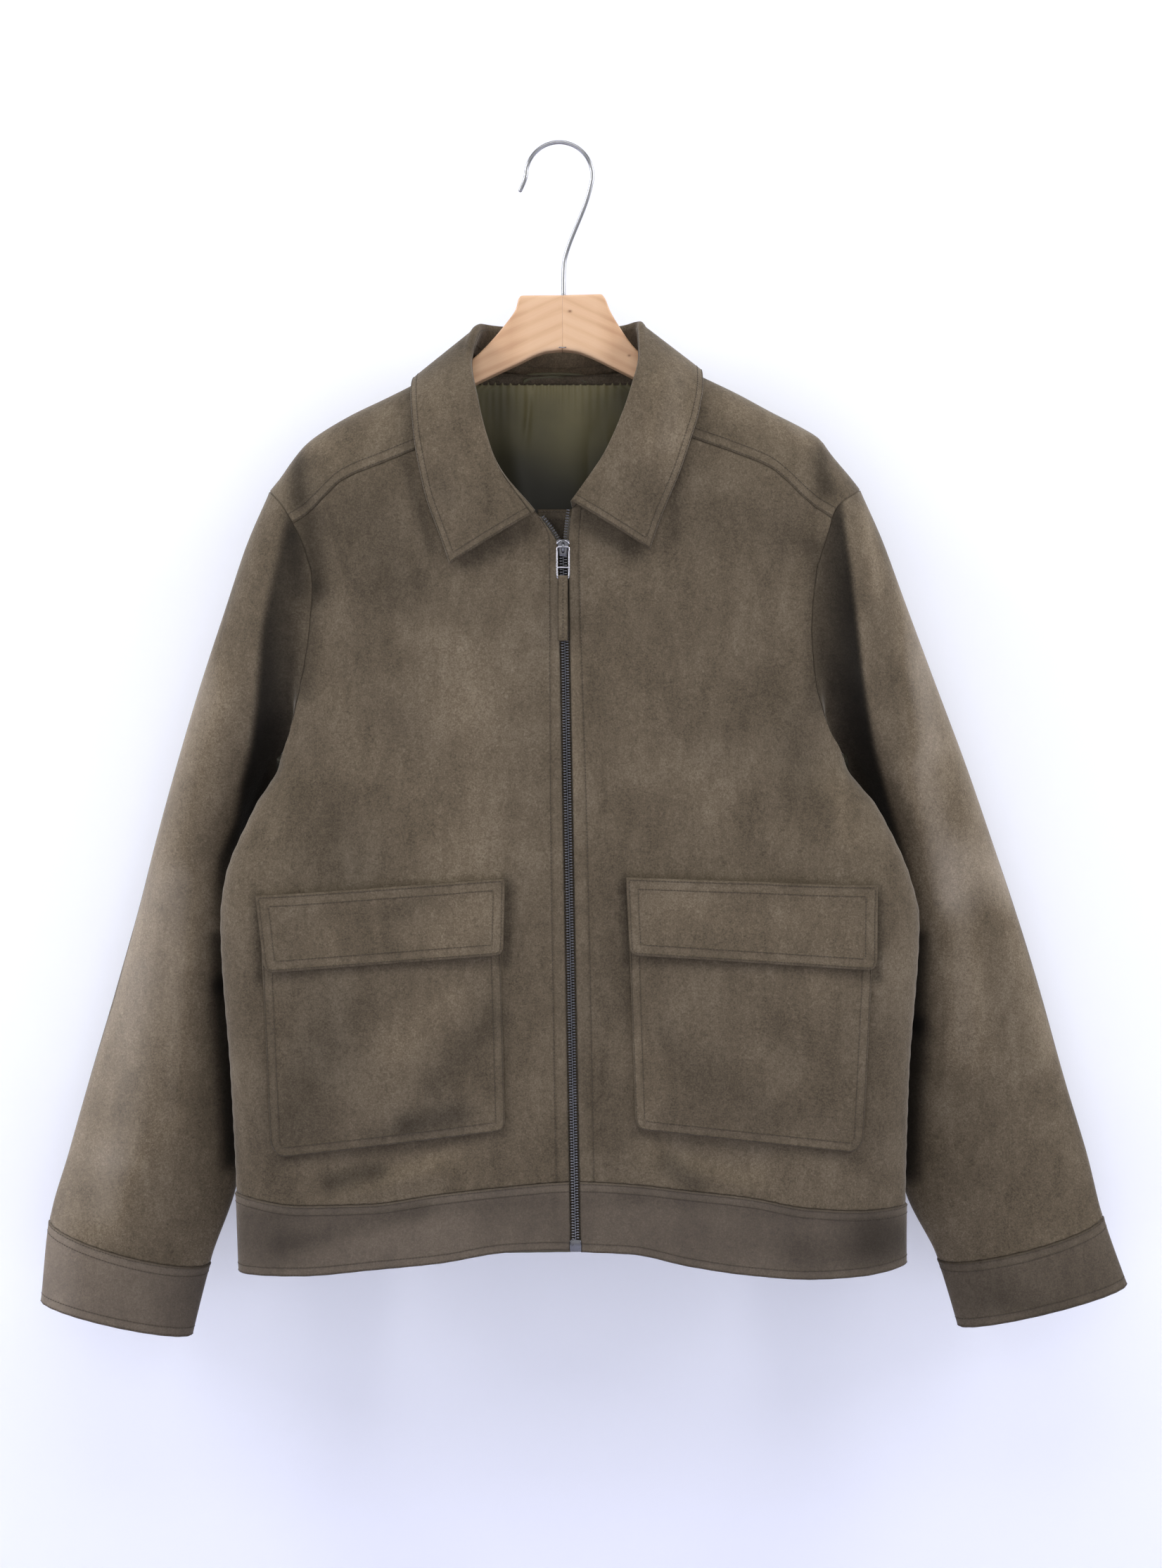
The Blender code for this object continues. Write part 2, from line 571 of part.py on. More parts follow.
def sleeve_points(side, around, along):
    """The sleeve's surface: around runs from the outer line over the front, along counts
    the table's rings."""
    table = SLEEVE[side]
    ring = np.arange(len(table["outer_x"]))
    value = {key: through(ring, table[key], along) for key in table}
    reach, swing = np.cos(around), np.sin(around)
    middle_x, half_x = ((value["outer_x"] + value["inner_x"]) / 2,
                        (value["outer_x"] - value["inner_x"]) / 2)
    middle_z, half_z = ((value["outer_z"] + value["inner_z"]) / 2,
                        (value["outer_z"] - value["inner_z"]) / 2)
    dip = value["dip"] * np.clip(swing, 0, 1)
    oval = np.stack([middle_x + half_x * reach,
                     value["middle_y"] + value["inner_back"] * (1 - reach) / 2
                     - value["half_depth"] * swing,
                     middle_z + half_z * reach - dip], axis=-1)
    loop = armhole_loop(side, around)
    first = {key: table[key][0] for key in table}
    start = np.stack([(first["outer_x"] + first["inner_x"]) / 2
                      + (first["outer_x"] - first["inner_x"]) / 2 * reach,
                      first["middle_y"] - first["half_depth"] * swing,
                      (first["outer_z"] + first["inner_z"]) / 2
                      + (first["outer_z"] - first["inner_z"]) / 2 * reach], axis=-1)
    fade = np.clip(1 - np.asarray(along) / 4.0, 0, 1)[..., None] ** 2
    return oval + (loop - start) * fade


def sleeve_normals(side, around, along, step=0.02):
    above = np.maximum(along - step, 0)
    ahead = sleeve_points(side, around + step, along) - sleeve_points(side, around - step, along)
    down = sleeve_points(side, around, along + step) - sleeve_points(side, around, above)
    normal = np.cross(ahead, down) * side
    return normal / np.linalg.norm(normal, axis=-1, keepdims=True)


def make_sleeves():
    for side, tag in ((LEFT, "left"), (RIGHT, "right")):
        turn = armhole_turns(side)
        around, along = np.meshgrid(turn, SLEEVE_RINGS)
        grid = sleeve_points(side, around, along)
        out = sleeve_normals(side, around, along)
        face = np.where(turn <= math.pi, FRONT, BACK)
        out[0] = body_normals(face, grid[0])
        along_seam = np.roll(grid[0], -1, axis=0) - np.roll(grid[0], 1, axis=0)
        away = np.cross(out[0], along_seam) * side
        grid[0] += away / np.linalg.norm(away, axis=-1, keepdims=True) * SEAM_GAP
        eased = ease(grid, last_row=True)
        wall("sleeve_" + tag, eased, eased - out * WALL, "suede", ring=True)

        around, along = np.meshgrid(turn, CUFF_RINGS)
        grid = sleeve_points(side, around, along)
        out = sleeve_normals(side, around, along)
        eased = ease(grid, first_row=True)
        wall("cuff_" + tag, eased, eased - out * WALL, "suede_band", ring=True)


# ---------------------------------------------------------------- collar and neck

def collar_sections():
    """Places along the collar's table: those at which the fronts and the yoke have points."""
    half = [0, 1]
    half += [2 + 2 * f for f in EASE_IN[:-1]]
    half += [6 - 2 * f for f in EASE_IN[::-1]]
    half += [6.36, 6.68]
    return np.array(half + [7] + [14 - place_at for place_at in half[::-1]])


def grid_normals(grid):
    across = np.gradient(grid, axis=1)
    along = np.gradient(grid, axis=0)
    normal = np.cross(along, across)
    return normal / np.linalg.norm(normal, axis=-1, keepdims=True)


def make_collar():
    at = collar_sections()
    rows = np.arange(len(COLLAR["neck_x"]))
    line = {key: through(rows, COLLAR[key], at) for key in COLLAR}
    face = np.where((at <= RIDGE_SECTION[LEFT]) | (at >= RIDGE_SECTION[RIGHT]), FRONT, BACK)
    neck = body_points(face, line["neck_x"], line["neck_z"])
    fold = np.stack([line["fold_x"], line["fold_y"], line["fold_z"]], axis=-1)
    edge_z = np.minimum(line["leaf_z"], ridge_z(line["leaf_x"]))
    leaf = body_points(face, line["leaf_x"], edge_z)
    leaf = leaf + body_normals(face, leaf) * LEAF_LIFT

    rise = np.array([0.07, 0.5, 0.97])[:, None, None]
    stand = neck * (1 - rise) + fold * rise
    out = grid_normals(stand)
    middle = np.array([0.0, 0.0, -200.0])
    if np.sum(out * (stand - middle)) > 0:
        out = -out
    wall("collar_stand", stand + out * (SEAM_GAP + WALL), stand + out * SEAM_GAP, "suede")

    fall = np.array([0.0, 0.12, 0.3, 0.52, 0.76, 1.0])[:, None, None]
    sheet = fold * (1 - fall) + leaf * fall
    out = grid_normals(sheet)
    if np.sum(out * (sheet - middle)) < 0:
        out = -out
    from_ridge = np.minimum(np.abs(at - RIDGE_SECTION[LEFT]), np.abs(at - RIDGE_SECTION[RIGHT]))
    swell = np.clip(from_ridge / 2, 0, 1)[None, :, None]
    bulge = LEAF_BULGE * swell * (4 * fall * (1 - fall)) ** 0.7
    sheet = sheet + out * bulge
    wall("collar_leaf", sheet + out * (SEAM_GAP + WALL), sheet + out * SEAM_GAP, "suede_band")


LINING_TOP_X, LINING_LOW_X = 52.0, 150.0        # half its width at the neck and at its foot
LINING_TOP_Z, LINING_LOW_Z, LINING_DIP = -184.0, -420.0, 3.0


def make_lining():
    """Back lining, from just under the neck seam down to a plain edge under the yoke."""
    share = np.linspace(0, 1, 11)
    rows = np.array([0, 0.08, 0.25, 0.5, 0.75, 1.0])[:, None]
    top_x = -LINING_TOP_X * (1 - share) + LINING_TOP_X * share
    low_x = -LINING_LOW_X * (1 - share) + LINING_LOW_X * share
    top_z = LINING_TOP_Z - LINING_DIP * np.sin(math.pi * share)
    x = top_x * (1 - rows ** 0.5) + low_x * rows ** 0.5
    z = top_z * (1 - rows) + LINING_LOW_Z * rows
    grid = body_points(BACK, x, z)
    body_wall("lining_back", BACK, grid, "satin", thick=LINING_WALL, lift=-(WALL + LINING_CLEAR))


LOOP = dict(start_x=-28.0, length=49.0, half=3.0, z=-175.0, rise=1.5, clear=3.4, belly=1.8)
NECK_BACK_Y, NECK_BACK_CURVE, NECK_BACK_HALF = 29.0, 5.0, 45.0     # the back neck seam's arc


def make_hang_loop():
    """A strip whose two ends are sewn in at the neck seam and whose middle stands off."""
    at = np.linspace(0, 1, 9)
    arch = np.sin(math.pi * at)
    x = LOOP["start_x"] + LOOP["length"] * at
    neck_y = NECK_BACK_Y - NECK_BACK_CURVE * (x / NECK_BACK_HALF) ** 2
    y = neck_y - (LOOP["clear"] + LOOP["belly"] * arch) - WALL
    z = LOOP["z"] + LOOP["rise"] * arch
    top = np.stack([x, y, z + LOOP["half"]], axis=-1)
    low = np.stack([x, y, z - LOOP["half"]], axis=-1)
    grid = np.stack([top, low])
    wall("hang_loop", grid, grid + np.array([0, LINING_WALL, 0]), "satin")


# ---------------------------------------------------------------- zip

def strip(name, left_x, right_x, z, colour, lift, thick):
    x = np.stack([left_x, right_x], axis=1)
    grid = body_points(FRONT, x, np.stack([z, z], axis=1))
    return body_wall(name, FRONT, grid, colour, thick=thick, lift=lift)


TAPE_FOOT = ZIP_BOTTOM + 7       # lower end of the tapes and the guard
TAPE_OUT, TAPE_IN, TAPE_IN_OPEN = 11.0, 0.3, 4.0     # from a front edge; open: above the slider
CHAIN = dict(half=3.4, thick=2.5, lift=-0.3, foot=8.0, top=-7.0)
GUARD = dict(left=19.0, right=14.0, wall=1.6)
BOX = dict(half=3.6, height=7.5, thick=3.4, lift=0.8)


def make_zip():
    inside = -(WALL + SEAM_GAP)
    low = np.linspace(TAPE_FOOT, ZIP_TOP, 16)
    high = np.array([-310.0, -302.0, -295.0])
    z = np.concatenate([low, high])
    for side, tag in ((LEFT, "left"), (RIGHT, "right")):
        edge = zip_edge_x(side, z)
        inner = np.where(z <= ZIP_TOP, edge - side * TAPE_IN, edge - side * TAPE_IN_OPEN)
        outer = edge + side * TAPE_OUT
        pair = (outer, inner) if side == LEFT else (inner, outer)
        strip("zip_tape_" + tag, pair[0], pair[1], z, "tape", inside, TAPE_WALL)
    chain_z = np.linspace(ZIP_BOTTOM + CHAIN["foot"], ZIP_TOP + CHAIN["top"], 16)
    strip("zip_chain", zip_x(chain_z) - CHAIN["half"], zip_x(chain_z) + CHAIN["half"], chain_z,
          "gunmetal", CHAIN["lift"], CHAIN["thick"])
    guard_z = np.concatenate([low, [-310.0, -300.0, -290.0]])
    strip("zip_guard", zip_x(guard_z) - GUARD["left"], zip_x(guard_z) + GUARD["right"], guard_z,
          "suede_band", inside - TAPE_WALL - SEAM_GAP, GUARD["wall"])
    box_z = np.array([ZIP_BOTTOM, ZIP_BOTTOM + BOX["height"]])
    strip("zip_box", zip_x(box_z) - BOX["half"], zip_x(box_z) + BOX["half"], box_z, "gunmetal",
          BOX["lift"], BOX["thick"])


def front_y(x, z):
    return float(body_points(FRONT, x, z)[1])


def tube_mesh(name, points, radius, cyclic=False, sides=2):
    curve = bpy.data.curves.new(name, "CURVE")
    curve.dimensions = "3D"
    curve.bevel_depth = radius * MM
    curve.bevel_resolution = sides
    curve.use_fill_caps = True
    spline = curve.splines.new("POLY")
    spline.points.add(len(points) - 1)
    for place_at, point in zip(spline.points, points):
        place_at.co = (point[0] * MM, point[1] * MM, point[2] * MM, 1.0)
    spline.use_cyclic_u = cyclic
    holder = bpy.data.objects.new(name, curve)
    bpy.context.scene.collection.objects.link(holder)
    bpy.context.view_layer.update()
    evaluated = holder.evaluated_get(bpy.context.evaluated_depsgraph_get())
    mesh = bpy.data.meshes.new_from_object(evaluated)
    bpy.data.objects.remove(holder)
    edit = bmesh.new()
    edit.from_mesh(mesh)
    bmesh.ops.remove_doubles(edit, verts=edit.verts, dist=WELD)
    bmesh.ops.recalc_face_normals(edit, faces=edit.faces)
    edit.to_mesh(mesh)
    edit.free()
    return mesh


def cutter(name, mesh):
    made = bpy.data.objects.new(name, mesh)
    bpy.data.collections["cutters"].objects.link(made)
    made.hide_render = True
    made.display_type = "WIRE"
    return made


def boolean(target, other, operation):
    made = target.modifiers.new(operation.lower(), "BOOLEAN")
    made.operation = operation
    made.object = other
    made.solver = "EXACT"


def box_mesh(name, low, high, bevel=0.0):
    edit = bmesh.new()
    bmesh.ops.create_cube(edit, size=1.0)
    low, high = np.array(low, float), np.array(high, float)
    for vert in edit.verts:
        vert.co = [(low[i] + high[i]) / 2 * MM + vert.co[i] * (high[i] - low[i]) * MM
                   for i in range(3)]
    if bevel:
        bmesh.ops.bevel(edit, geom=list(edit.edges), offset=bevel * MM, segments=2,
                        affect="EDGES", profile=0.5)
    mesh = bpy.data.meshes.new(name)
    edit.to_mesh(mesh)
    edit.free()
    return mesh


PULL_Z = -319.5                  # height of the pull's axis, through the slider's crown
PULL_STAND = 3.1                 # from the cloth out to that axis
FRAME_HALF, FRAME_DROP = 4.6, 24.0
FRAME_WIRE, BAR_WIRE, BAR_SHARE, FRAME_ROUND = 0.6, 0.5, 0.66, 0.9
STRAP_LENGTH, STRAP_WIDTH, STRAP_WALL = 48.0, 7.6, 0.9
STRAP_LOOP, STRAP_HALF, STRAP_MEET = 1.0, 0.62, 8.0     # its turn, its leaves, where they meet
PLATE = dict(half=4.6, foot=7.0, top=5.0, front=1.7, back=0.35, round=0.5)
CROWN = dict(foot=1.2, out=3.6, half=3.4, low=0.6, wire=0.8)


def make_slider():
    """The slider's plate, and the bow on it that carries the pull."""
    x = float(zip_x(PULL_Z))
    cloth = front_y(x, PULL_Z)
    plate = box_mesh("slider_plate",
                     (x - PLATE["half"], cloth - PLATE["front"], PULL_Z - PLATE["foot"]),
                     (x + PLATE["half"], cloth - PLATE["back"], PULL_Z + PLATE["top"]),
                     bevel=PLATE["round"])
    slider = place("zip_slider", plate, "gunmetal")
    bow = []
    for angle in np.linspace(0, math.pi, 9):
        bow.append((x, cloth - CROWN["foot"] - CROWN["out"] * math.sin(angle),
                    PULL_Z - CROWN["low"] + CROWN["half"] * math.cos(angle)))
    crown = cutter("slider_crown", tube_mesh("slider_crown", bow, CROWN["wire"]))
    boolean(slider, crown, "UNION")


def make_pull():
    """A wire frame with a bar, and a strap folded round the frame's lower wire; both hang
    from an empty on the axis that they swing about."""
    x = float(zip_x(PULL_Z))
    axis_y = front_y(x, PULL_Z) - PULL_STAND
    low_y = front_y(x, PULL_Z - FRAME_DROP) - PULL_STAND - 0.4
    slope = (low_y - axis_y) / FRAME_DROP
    outline = []
    for side, order in ((LEFT, 1), (RIGHT, -1)):
        outline += [(side * FRAME_HALF, FRAME_ROUND),
                    (side * (FRAME_HALF - FRAME_ROUND), 0.0)][::order]
    outline += [(-across, FRAME_DROP - down) for across, down in outline]
    ring = [(x + across, axis_y + slope * down, PULL_Z - down) for across, down in outline]
    frame = place("pull_frame", tube_mesh("pull_frame", ring, FRAME_WIRE, cyclic=True), "gunmetal")
    bar_down = BAR_SHARE * FRAME_DROP
    bar = [(x + side * FRAME_HALF, axis_y + slope * bar_down, PULL_Z - bar_down)
           for side in (LEFT, RIGHT)]
    boolean(frame, cutter("frame_bar", tube_mesh("frame_bar", bar, BAR_WIRE)), "UNION")

    bend = [(math.sin(a) * STRAP_LOOP, math.cos(a) * STRAP_LOOP)
            for a in np.linspace(math.pi / 2, -math.pi / 2, 5)]
    path = np.array([(STRAP_HALF, -STRAP_LENGTH), (STRAP_HALF, -STRAP_MEET)] + bend
                    + [(-STRAP_HALF, -STRAP_MEET), (-STRAP_HALF, -STRAP_LENGTH)])
    inner = np.stack([low_y + path[:, 0] - slope * np.minimum(path[:, 1], 0),
                      PULL_Z - FRAME_DROP + path[:, 1]], axis=-1)
    ahead = np.gradient(inner, axis=0)
    aside = np.stack([-ahead[:, 1], ahead[:, 0]], axis=-1)
    aside /= np.linalg.norm(aside, axis=-1, keepdims=True)
    outer = inner + aside * math.copysign(STRAP_WALL, aside[0, 0])

    def across_strap(line):
        return np.stack([np.stack([np.full(len(line), x + side * STRAP_WIDTH / 2), line[:, 0],
                                   line[:, 1]], axis=-1) for side in (LEFT, RIGHT)])

    strap = wall("pull_strap", across_strap(outer), across_strap(inner), "suede_band")
    axis = bpy.data.objects.new("pull_axis", None)
    axis.location = (x * MM, axis_y * MM, PULL_Z * MM)
    bpy.data.collections["shell_jacket"].objects.link(axis)
    for piece in (frame, strap):
        piece.parent = axis
        piece.matrix_parent_inverse = Matrix.Translation(-axis.location)


# ---------------------------------------------------------------- hanger

# Top line and lower line of each wooden half, from the middle seam outwards
HANGER = {
    LEFT: dict(top=[(2.4, -119), (-30, -120.5), (-34, -130), (-43, -143), (-56, -158),
                    (-69, -170), (-114, -194.5), (-161, -218), (-178, -227.5), (-184, -233)],
               low=[(2.4, -162), (-14, -164.5), (-32, -172.5), (-65, -188), (-114, -212),
                    (-161, -235), (-174, -243), (-182, -243.5)]),
    RIGHT: dict(top=[(2.8, -119), (33, -118), (40, -131.5), (46, -142), (58, -159),
                     (70, -169.5), (112, -189.5), (165, -216), (188, -229), (194, -234)],
                low=[(2.8, -162), (20, -165), (41, -175), (57, -183), (112, -207),
                     (165, -233), (184, -244), (192, -244.5)])}


def make_hanger():
    for side, tag in ((LEFT, "left"), (RIGHT, "right")):
        top, low = HANGER[side]["top"], HANGER[side]["low"]
        outline = top + [(top[-1][0] + side * 2.0, (top[-1][1] + low[-1][1]) / 2)] + low[::-1]
        curve = bpy.data.curves.new("hanger_" + tag, "CURVE")
        curve.dimensions = "2D"
        curve.fill_mode = "BOTH"
        curve.extrude = WOOD_THICKNESS / 2 * MM
        spline = curve.splines.new("POLY")
        spline.points.add(len(outline) - 1)
        for place_at, (px, pz) in zip(spline.points, outline):
            place_at.co = (px * MM, pz * MM, 0.0, 1.0)
        spline.use_cyclic_u = True
        holder = bpy.data.objects.new("hanger_curve", curve)
        bpy.context.scene.collection.objects.link(holder)
        bpy.context.view_layer.update()
        evaluated = holder.evaluated_get(bpy.context.evaluated_depsgraph_get())
        mesh = bpy.data.meshes.new_from_object(evaluated)
        bpy.data.objects.remove(holder)
        edit = bmesh.new()
        edit.from_mesh(mesh)
        bmesh.ops.remove_doubles(edit, verts=edit.verts, dist=WELD)
        for vert in edit.verts:
            flat_x, flat_z, thick = vert.co
            vert.co = (flat_x, -thick, flat_z)
        bmesh.ops.recalc_face_normals(edit, faces=edit.faces)
        edit.to_mesh(mesh)
        edit.free()
        board = place("hanger_" + tag, mesh, "wood")
        soften = board.modifiers.new("soften", "BEVEL")
        soften.width = WOOD_ROUND * MM
        soften.segments = 2
        soften.limit_method = "ANGLE"
        soften.angle_limit = math.radians(60)


def make_hook():
    """Wire: a short straight tip, most of a circle, a lean back to the middle, the shank."""
    centre_z = HOOK_WIRE - HOOK_RADIUS
    points = [(-HOOK_RADIUS - 4.5, 0, centre_z - 12), (-HOOK_RADIUS - 2.0, 0, centre_z - 7)]
    for angle in np.linspace(math.radians(186), math.radians(-18), 26):
        points.append((HOOK_RADIUS * math.cos(angle), 0, centre_z + HOOK_RADIUS * math.sin(angle)))
    start = np.array([points[-1][0], points[-1][2]])
    for t in (0.25, 0.5, 0.75, 1.0):
        bend = t * t * (3 - 2 * t)
        points.append((start[0] + (SHANK_X - start[0]) * (0.55 * t + 0.45 * bend), 0,
                       start[1] + (SHANK_TOP - start[1]) * t))
    points.append((SHANK_X, 0, SHANK_FOOT))
    mesh = tube_mesh("hook", points, HOOK_WIRE)
    place("hook", mesh, "chrome")


def main():
    for old in list(bpy.data.objects):
        bpy.data.objects.remove(old)
    for name in ("shell_jacket", "cutters"):
        collection = bpy.data.collections.new(name)
        bpy.context.scene.collection.children.link(collection)
    make_fronts()
    make_back()
    make_yoke()
    make_waistband()
    make_sleeves()
    make_collar()
    make_lining()
    make_hang_loop()
    make_zip()
    make_slider()
    make_pull()
    make_hanger()
    make_hook()


main()
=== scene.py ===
import math

import bmesh
import bpy
import numpy as np
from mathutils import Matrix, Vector


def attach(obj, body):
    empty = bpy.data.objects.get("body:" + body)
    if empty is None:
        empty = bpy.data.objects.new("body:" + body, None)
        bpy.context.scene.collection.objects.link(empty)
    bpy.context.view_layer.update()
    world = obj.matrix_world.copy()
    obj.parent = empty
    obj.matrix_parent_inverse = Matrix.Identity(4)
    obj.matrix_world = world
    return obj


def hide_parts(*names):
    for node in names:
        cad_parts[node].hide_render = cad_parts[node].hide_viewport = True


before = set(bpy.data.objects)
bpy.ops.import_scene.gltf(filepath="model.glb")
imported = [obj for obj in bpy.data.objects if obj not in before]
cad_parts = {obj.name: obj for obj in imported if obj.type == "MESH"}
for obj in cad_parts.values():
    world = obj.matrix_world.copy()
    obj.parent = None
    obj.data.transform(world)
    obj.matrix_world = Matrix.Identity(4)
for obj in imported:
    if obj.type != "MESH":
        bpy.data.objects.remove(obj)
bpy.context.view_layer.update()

mm = 0.001
front, back = -1.0, 1.0
left, right = -1.0, 1.0
sides = ((left, "left"), (right, "right"))
print("scene: frame loaded,", len(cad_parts), "nodes")


# lines and grids are all in millimetres until a mesh is made

def through(stations, values, at):
    # cubic pieces through the stations, slopes from the harmonic mean of both sides
    x, y = np.asarray(stations, float), np.asarray(values, float)
    at = np.clip(np.asarray(at, float), x[0], x[-1])
    step = np.diff(x)
    slope = np.diff(y) / step
    tangent = np.empty_like(y)
    tangent[0], tangent[-1] = slope[0], slope[-1]
    before, after = slope[:-1], slope[1:]
    same = before * after > 0
    tangent[1:-1] = np.where(same, 2 * before * after / np.where(same, before + after, 1.0), 0.0)
    i = np.clip(np.searchsorted(x, at, side="right") - 1, 0, len(step) - 1)
    h = step[i]
    t = (at - x[i]) / h
    return (y[i] * (1 + 2 * t) * (1 - t) ** 2 + tangent[i] * h * t * (1 - t) ** 2
            + y[i + 1] * t * t * (3 - 2 * t) + tangent[i + 1] * h * t * t * (t - 1))


def mixed(a, b, t):
    return a * (1 - t) + b * t


def fadeIn(value, low, high):
    # 0 below low, 1 above high, a smooth cubic between
    t = np.clip((value - low) / (high - low), 0, 1)
    return t * t * (3 - 2 * t)


def places(length, step, start="edge", end="edge"):
    # places from 0 to 1 along a length: crowded at an edge, in squares at a fold, then even
    edge = np.array([0, 0.4, 0.9, 1.5, 2.3, 3.3])
    turn = 30.0 * (np.arange(15) / 14.0) ** 2
    lead = {"edge": edge, "fold": turn, "plain": np.array([0.0])}
    low, high = lead[start] / length, 1 - lead[end][::-1] / length
    count = max(2, int(round((high[0] - low[-1]) * length / step)))
    return np.concatenate([low, np.linspace(low[-1], high[0], count + 1)[1:-1], high])


def unit(v):
    return v / np.maximum(np.linalg.norm(v, axis=-1, keepdims=True), 1e-9)


def stacked(*parts):
    # arrays or numbers that spread to one shape, as the coordinates of points
    return np.stack(np.broadcast_arrays(*parts), axis=-1)


def turnsRound(count, shift=0.0):
    # even angles once round a circle
    return (np.arange(count) + shift) * 2 * math.pi / count


def raised(sheet, normal, height):
    return sheet + normal * height[..., None]


def sheetNormals(sheet, toward=None):
    # cross product of the grid's two directions; toward says which way is out
    normal = unit(np.cross(np.gradient(sheet, axis=0), np.gradient(sheet, axis=1)))
    if toward is not None and np.sum(normal * toward) < 0:
        normal = -normal
    return normal


def coons(low, high, near, far, u, v):
    # a patch between four lines: both pairs blended, less the corners that count twice
    u, v = u[None, :, None], v[:, None, None]
    low, high, near, far = low[None], high[None], near[:, None], far[:, None]
    return (low * (1 - v) + high * v + near * (1 - u) + far * u
            - (low[:, :1] * (1 - u) + low[:, -1:] * u) * (1 - v)
            - (high[:, :1] * (1 - u) + high[:, -1:] * u) * v)


# the jacket's body is one hollow form that all panels lie on: by height, where its sides are
# in x, how deep it is in front and behind, and where its side folds are in y; the powers say how
# late across the body the side folds' y and the rounding set in
bodyForm = dict(
    z=[-882, -815, -730, -605, -575, -520, -480, -425, -345, -300, -150],
    left=[-247, -249, -253, -261, -258, -237, -217, -230, -246, -250, -250],
    right=[268, 268, 270, 278, 272, 248, 222, 233, 252, 257, 257],
    front=[47, 50, 52, 52, 52, 50, 49, 48, 47, 46, 40],
    back=[41, 44, 46, 46, 46, 45, 44, 43, 42, 42, 40],
    side=[-20, -22, -25, -26, -24, -14, -6, -3, -1, 0, 0],
    sidePower=4, foldPower=6.0, shoulderDepth=100.0)
shoulderLine = dict(
    x=[-226, -217, -208, -198, -188, -161, -136, -114, -71, -40, 40, 70, 112, 139, 165, 194,
       203, 212, 228, 235],
    z=[-272, -261, -248, -236, -228, -212, -200, -189, -165, -159, -159, -163, -183, -196, -210,
       -225, -231, -243, -262, -271])
armhole = {
    left: dict(z=[-480, -470, -428, -380, -347, -320, -300, -285, -272],
               x=[-217, -211.5, -199, -191, -189, -195, -204.5, -214, -226]),
    right: dict(z=[-480, -455, -421, -382, -342, -307, -289, -271],
                x=[222, 207, 197, 194, 197, 207, 213, 235])}
# the waistband's seam and low edge by x; zipZ and sideZ are where the zip and the side folds
# meet that seam, near enough to read their x there
hem = dict(
    x=[-249, -198, -145, -93, -40, 0, 14, 55, 100, 145, 190, 230, 268],
    seam=[-815, -822, -821, -814, -808, -804.5, -804, -806, -811, -816, -824, -826, -824],
    low=[-877, -876.5, -872, -867, -858.5, -857, -858, -860, -869.5, -876, -879, -877, -871],
    zipZ=-804, sideZ=-815.0)
# the zip leans a little to the wearer's left on its way down, and opens above its top
zipLine = dict(top=-318.0, bottom=-857.0, topX=3.3, lean=-0.018, halfGap=4.0,
               flare={left: 17.0, right: 3.0}, flareHeight=26.0, flarePower=1.3)

# soft troughs and swellings of the panels, each a bell across a line: its two ends, half width
# and depth (positive swells out)
panelFolds = [
    # face, from x, z, to x, z, width, depth
    (front, -203, -252, -196, -292, 14, -5.0),
    (front, -186, -310, -172, -420, 20, -4.0),
    (front, 206, -250, 196, -290, 14, -5.0),
    (front, 186, -310, 176, -420, 20, -4.0),
    (front, -160, -792, -80, -776, 16, -4.0),
    (front, 150, -790, 75, -774, 16, -4.0),
    (front, -236, -600, -236, -760, 18, 3.0),
    (front, 250, -600, 250, -760, 18, 3.0),
    (back, -20, -420, -30, -800, 45, -6.0),
    (back, -120, -330, -150, -700, 30, 4.0),
    (back, 130, -330, 160, -700, 30, 4.0),
    # the finer ones that only the cloth has
    (front, -146, -803, -96, -781, 7, -1.6),
    (front, -150, -810, -90, -796, 8, 1.6),
    (front, 142, -800, 92, -780, 7, -1.6),
    (front, 150, -808, 96, -796, 8, 1.6),
    (front, -176, -340, -150, -470, 12, -1.6),
    (front, -150, -330, -126, -440, 16, 1.6),
    (front, -205, -470, -168, -540, 12, -1.8),
    (front, 176, -330, 160, -440, 13, -1.6),
    (front, 146, -330, 132, -450, 16, 1.4),
    (front, 207, -470, 172, -530, 12, -1.8),
    (front, -34, -430, -30, -560, 12, 1.2),
    (front, 44, -420, 40, -560, 12, 1.2),
    (front, 90, -470, 150, -560, 18, -1.6),
    (front, -110, -480, -60, -560, 22, -1.2),
    (back, -60, -330, -70, -560, 20, 3.0),
    (back, 50, -340, 60, -600, 24, -3.0),
    (back, -180, -500, -120, -640, 22, -3.0),
    (back, 190, -500, 140, -660, 22, -3.0),
    (back, -100, -700, -60, -810, 16, 3.0),
    (back, 80, -690, 110, -810, 18, 3.0)]


def bodySize(column, z):
    return through(bodyForm["z"], bodyForm[column], z)


def shoulderZ(x):
    return through(shoulderLine["x"], shoulderLine["z"], x)


def edgeX(side, z):
    # the side fold, and above the underarm the armhole
    z = np.asarray(z, float)
    fold = bodySize("left" if side == left else "right", z)
    return np.where(z < armhole[side]["z"][0], fold,
                    through(armhole[side]["z"], armhole[side]["x"], z))


def zipX(z):
    return zipLine["topX"] + zipLine["lean"] * (np.asarray(z, float) - zipLine["top"])


def zipEdgeX(side, z):
    above = np.clip((np.asarray(z, float) - zipLine["top"]) / zipLine["flareHeight"], 0.0, None)
    opened = zipLine["flare"][side] * above ** zipLine["flarePower"]
    return zipX(z) + side * (zipLine["halfGap"] + opened)


def hemZ(column, x):
    return through(hem["x"], hem[column], x)


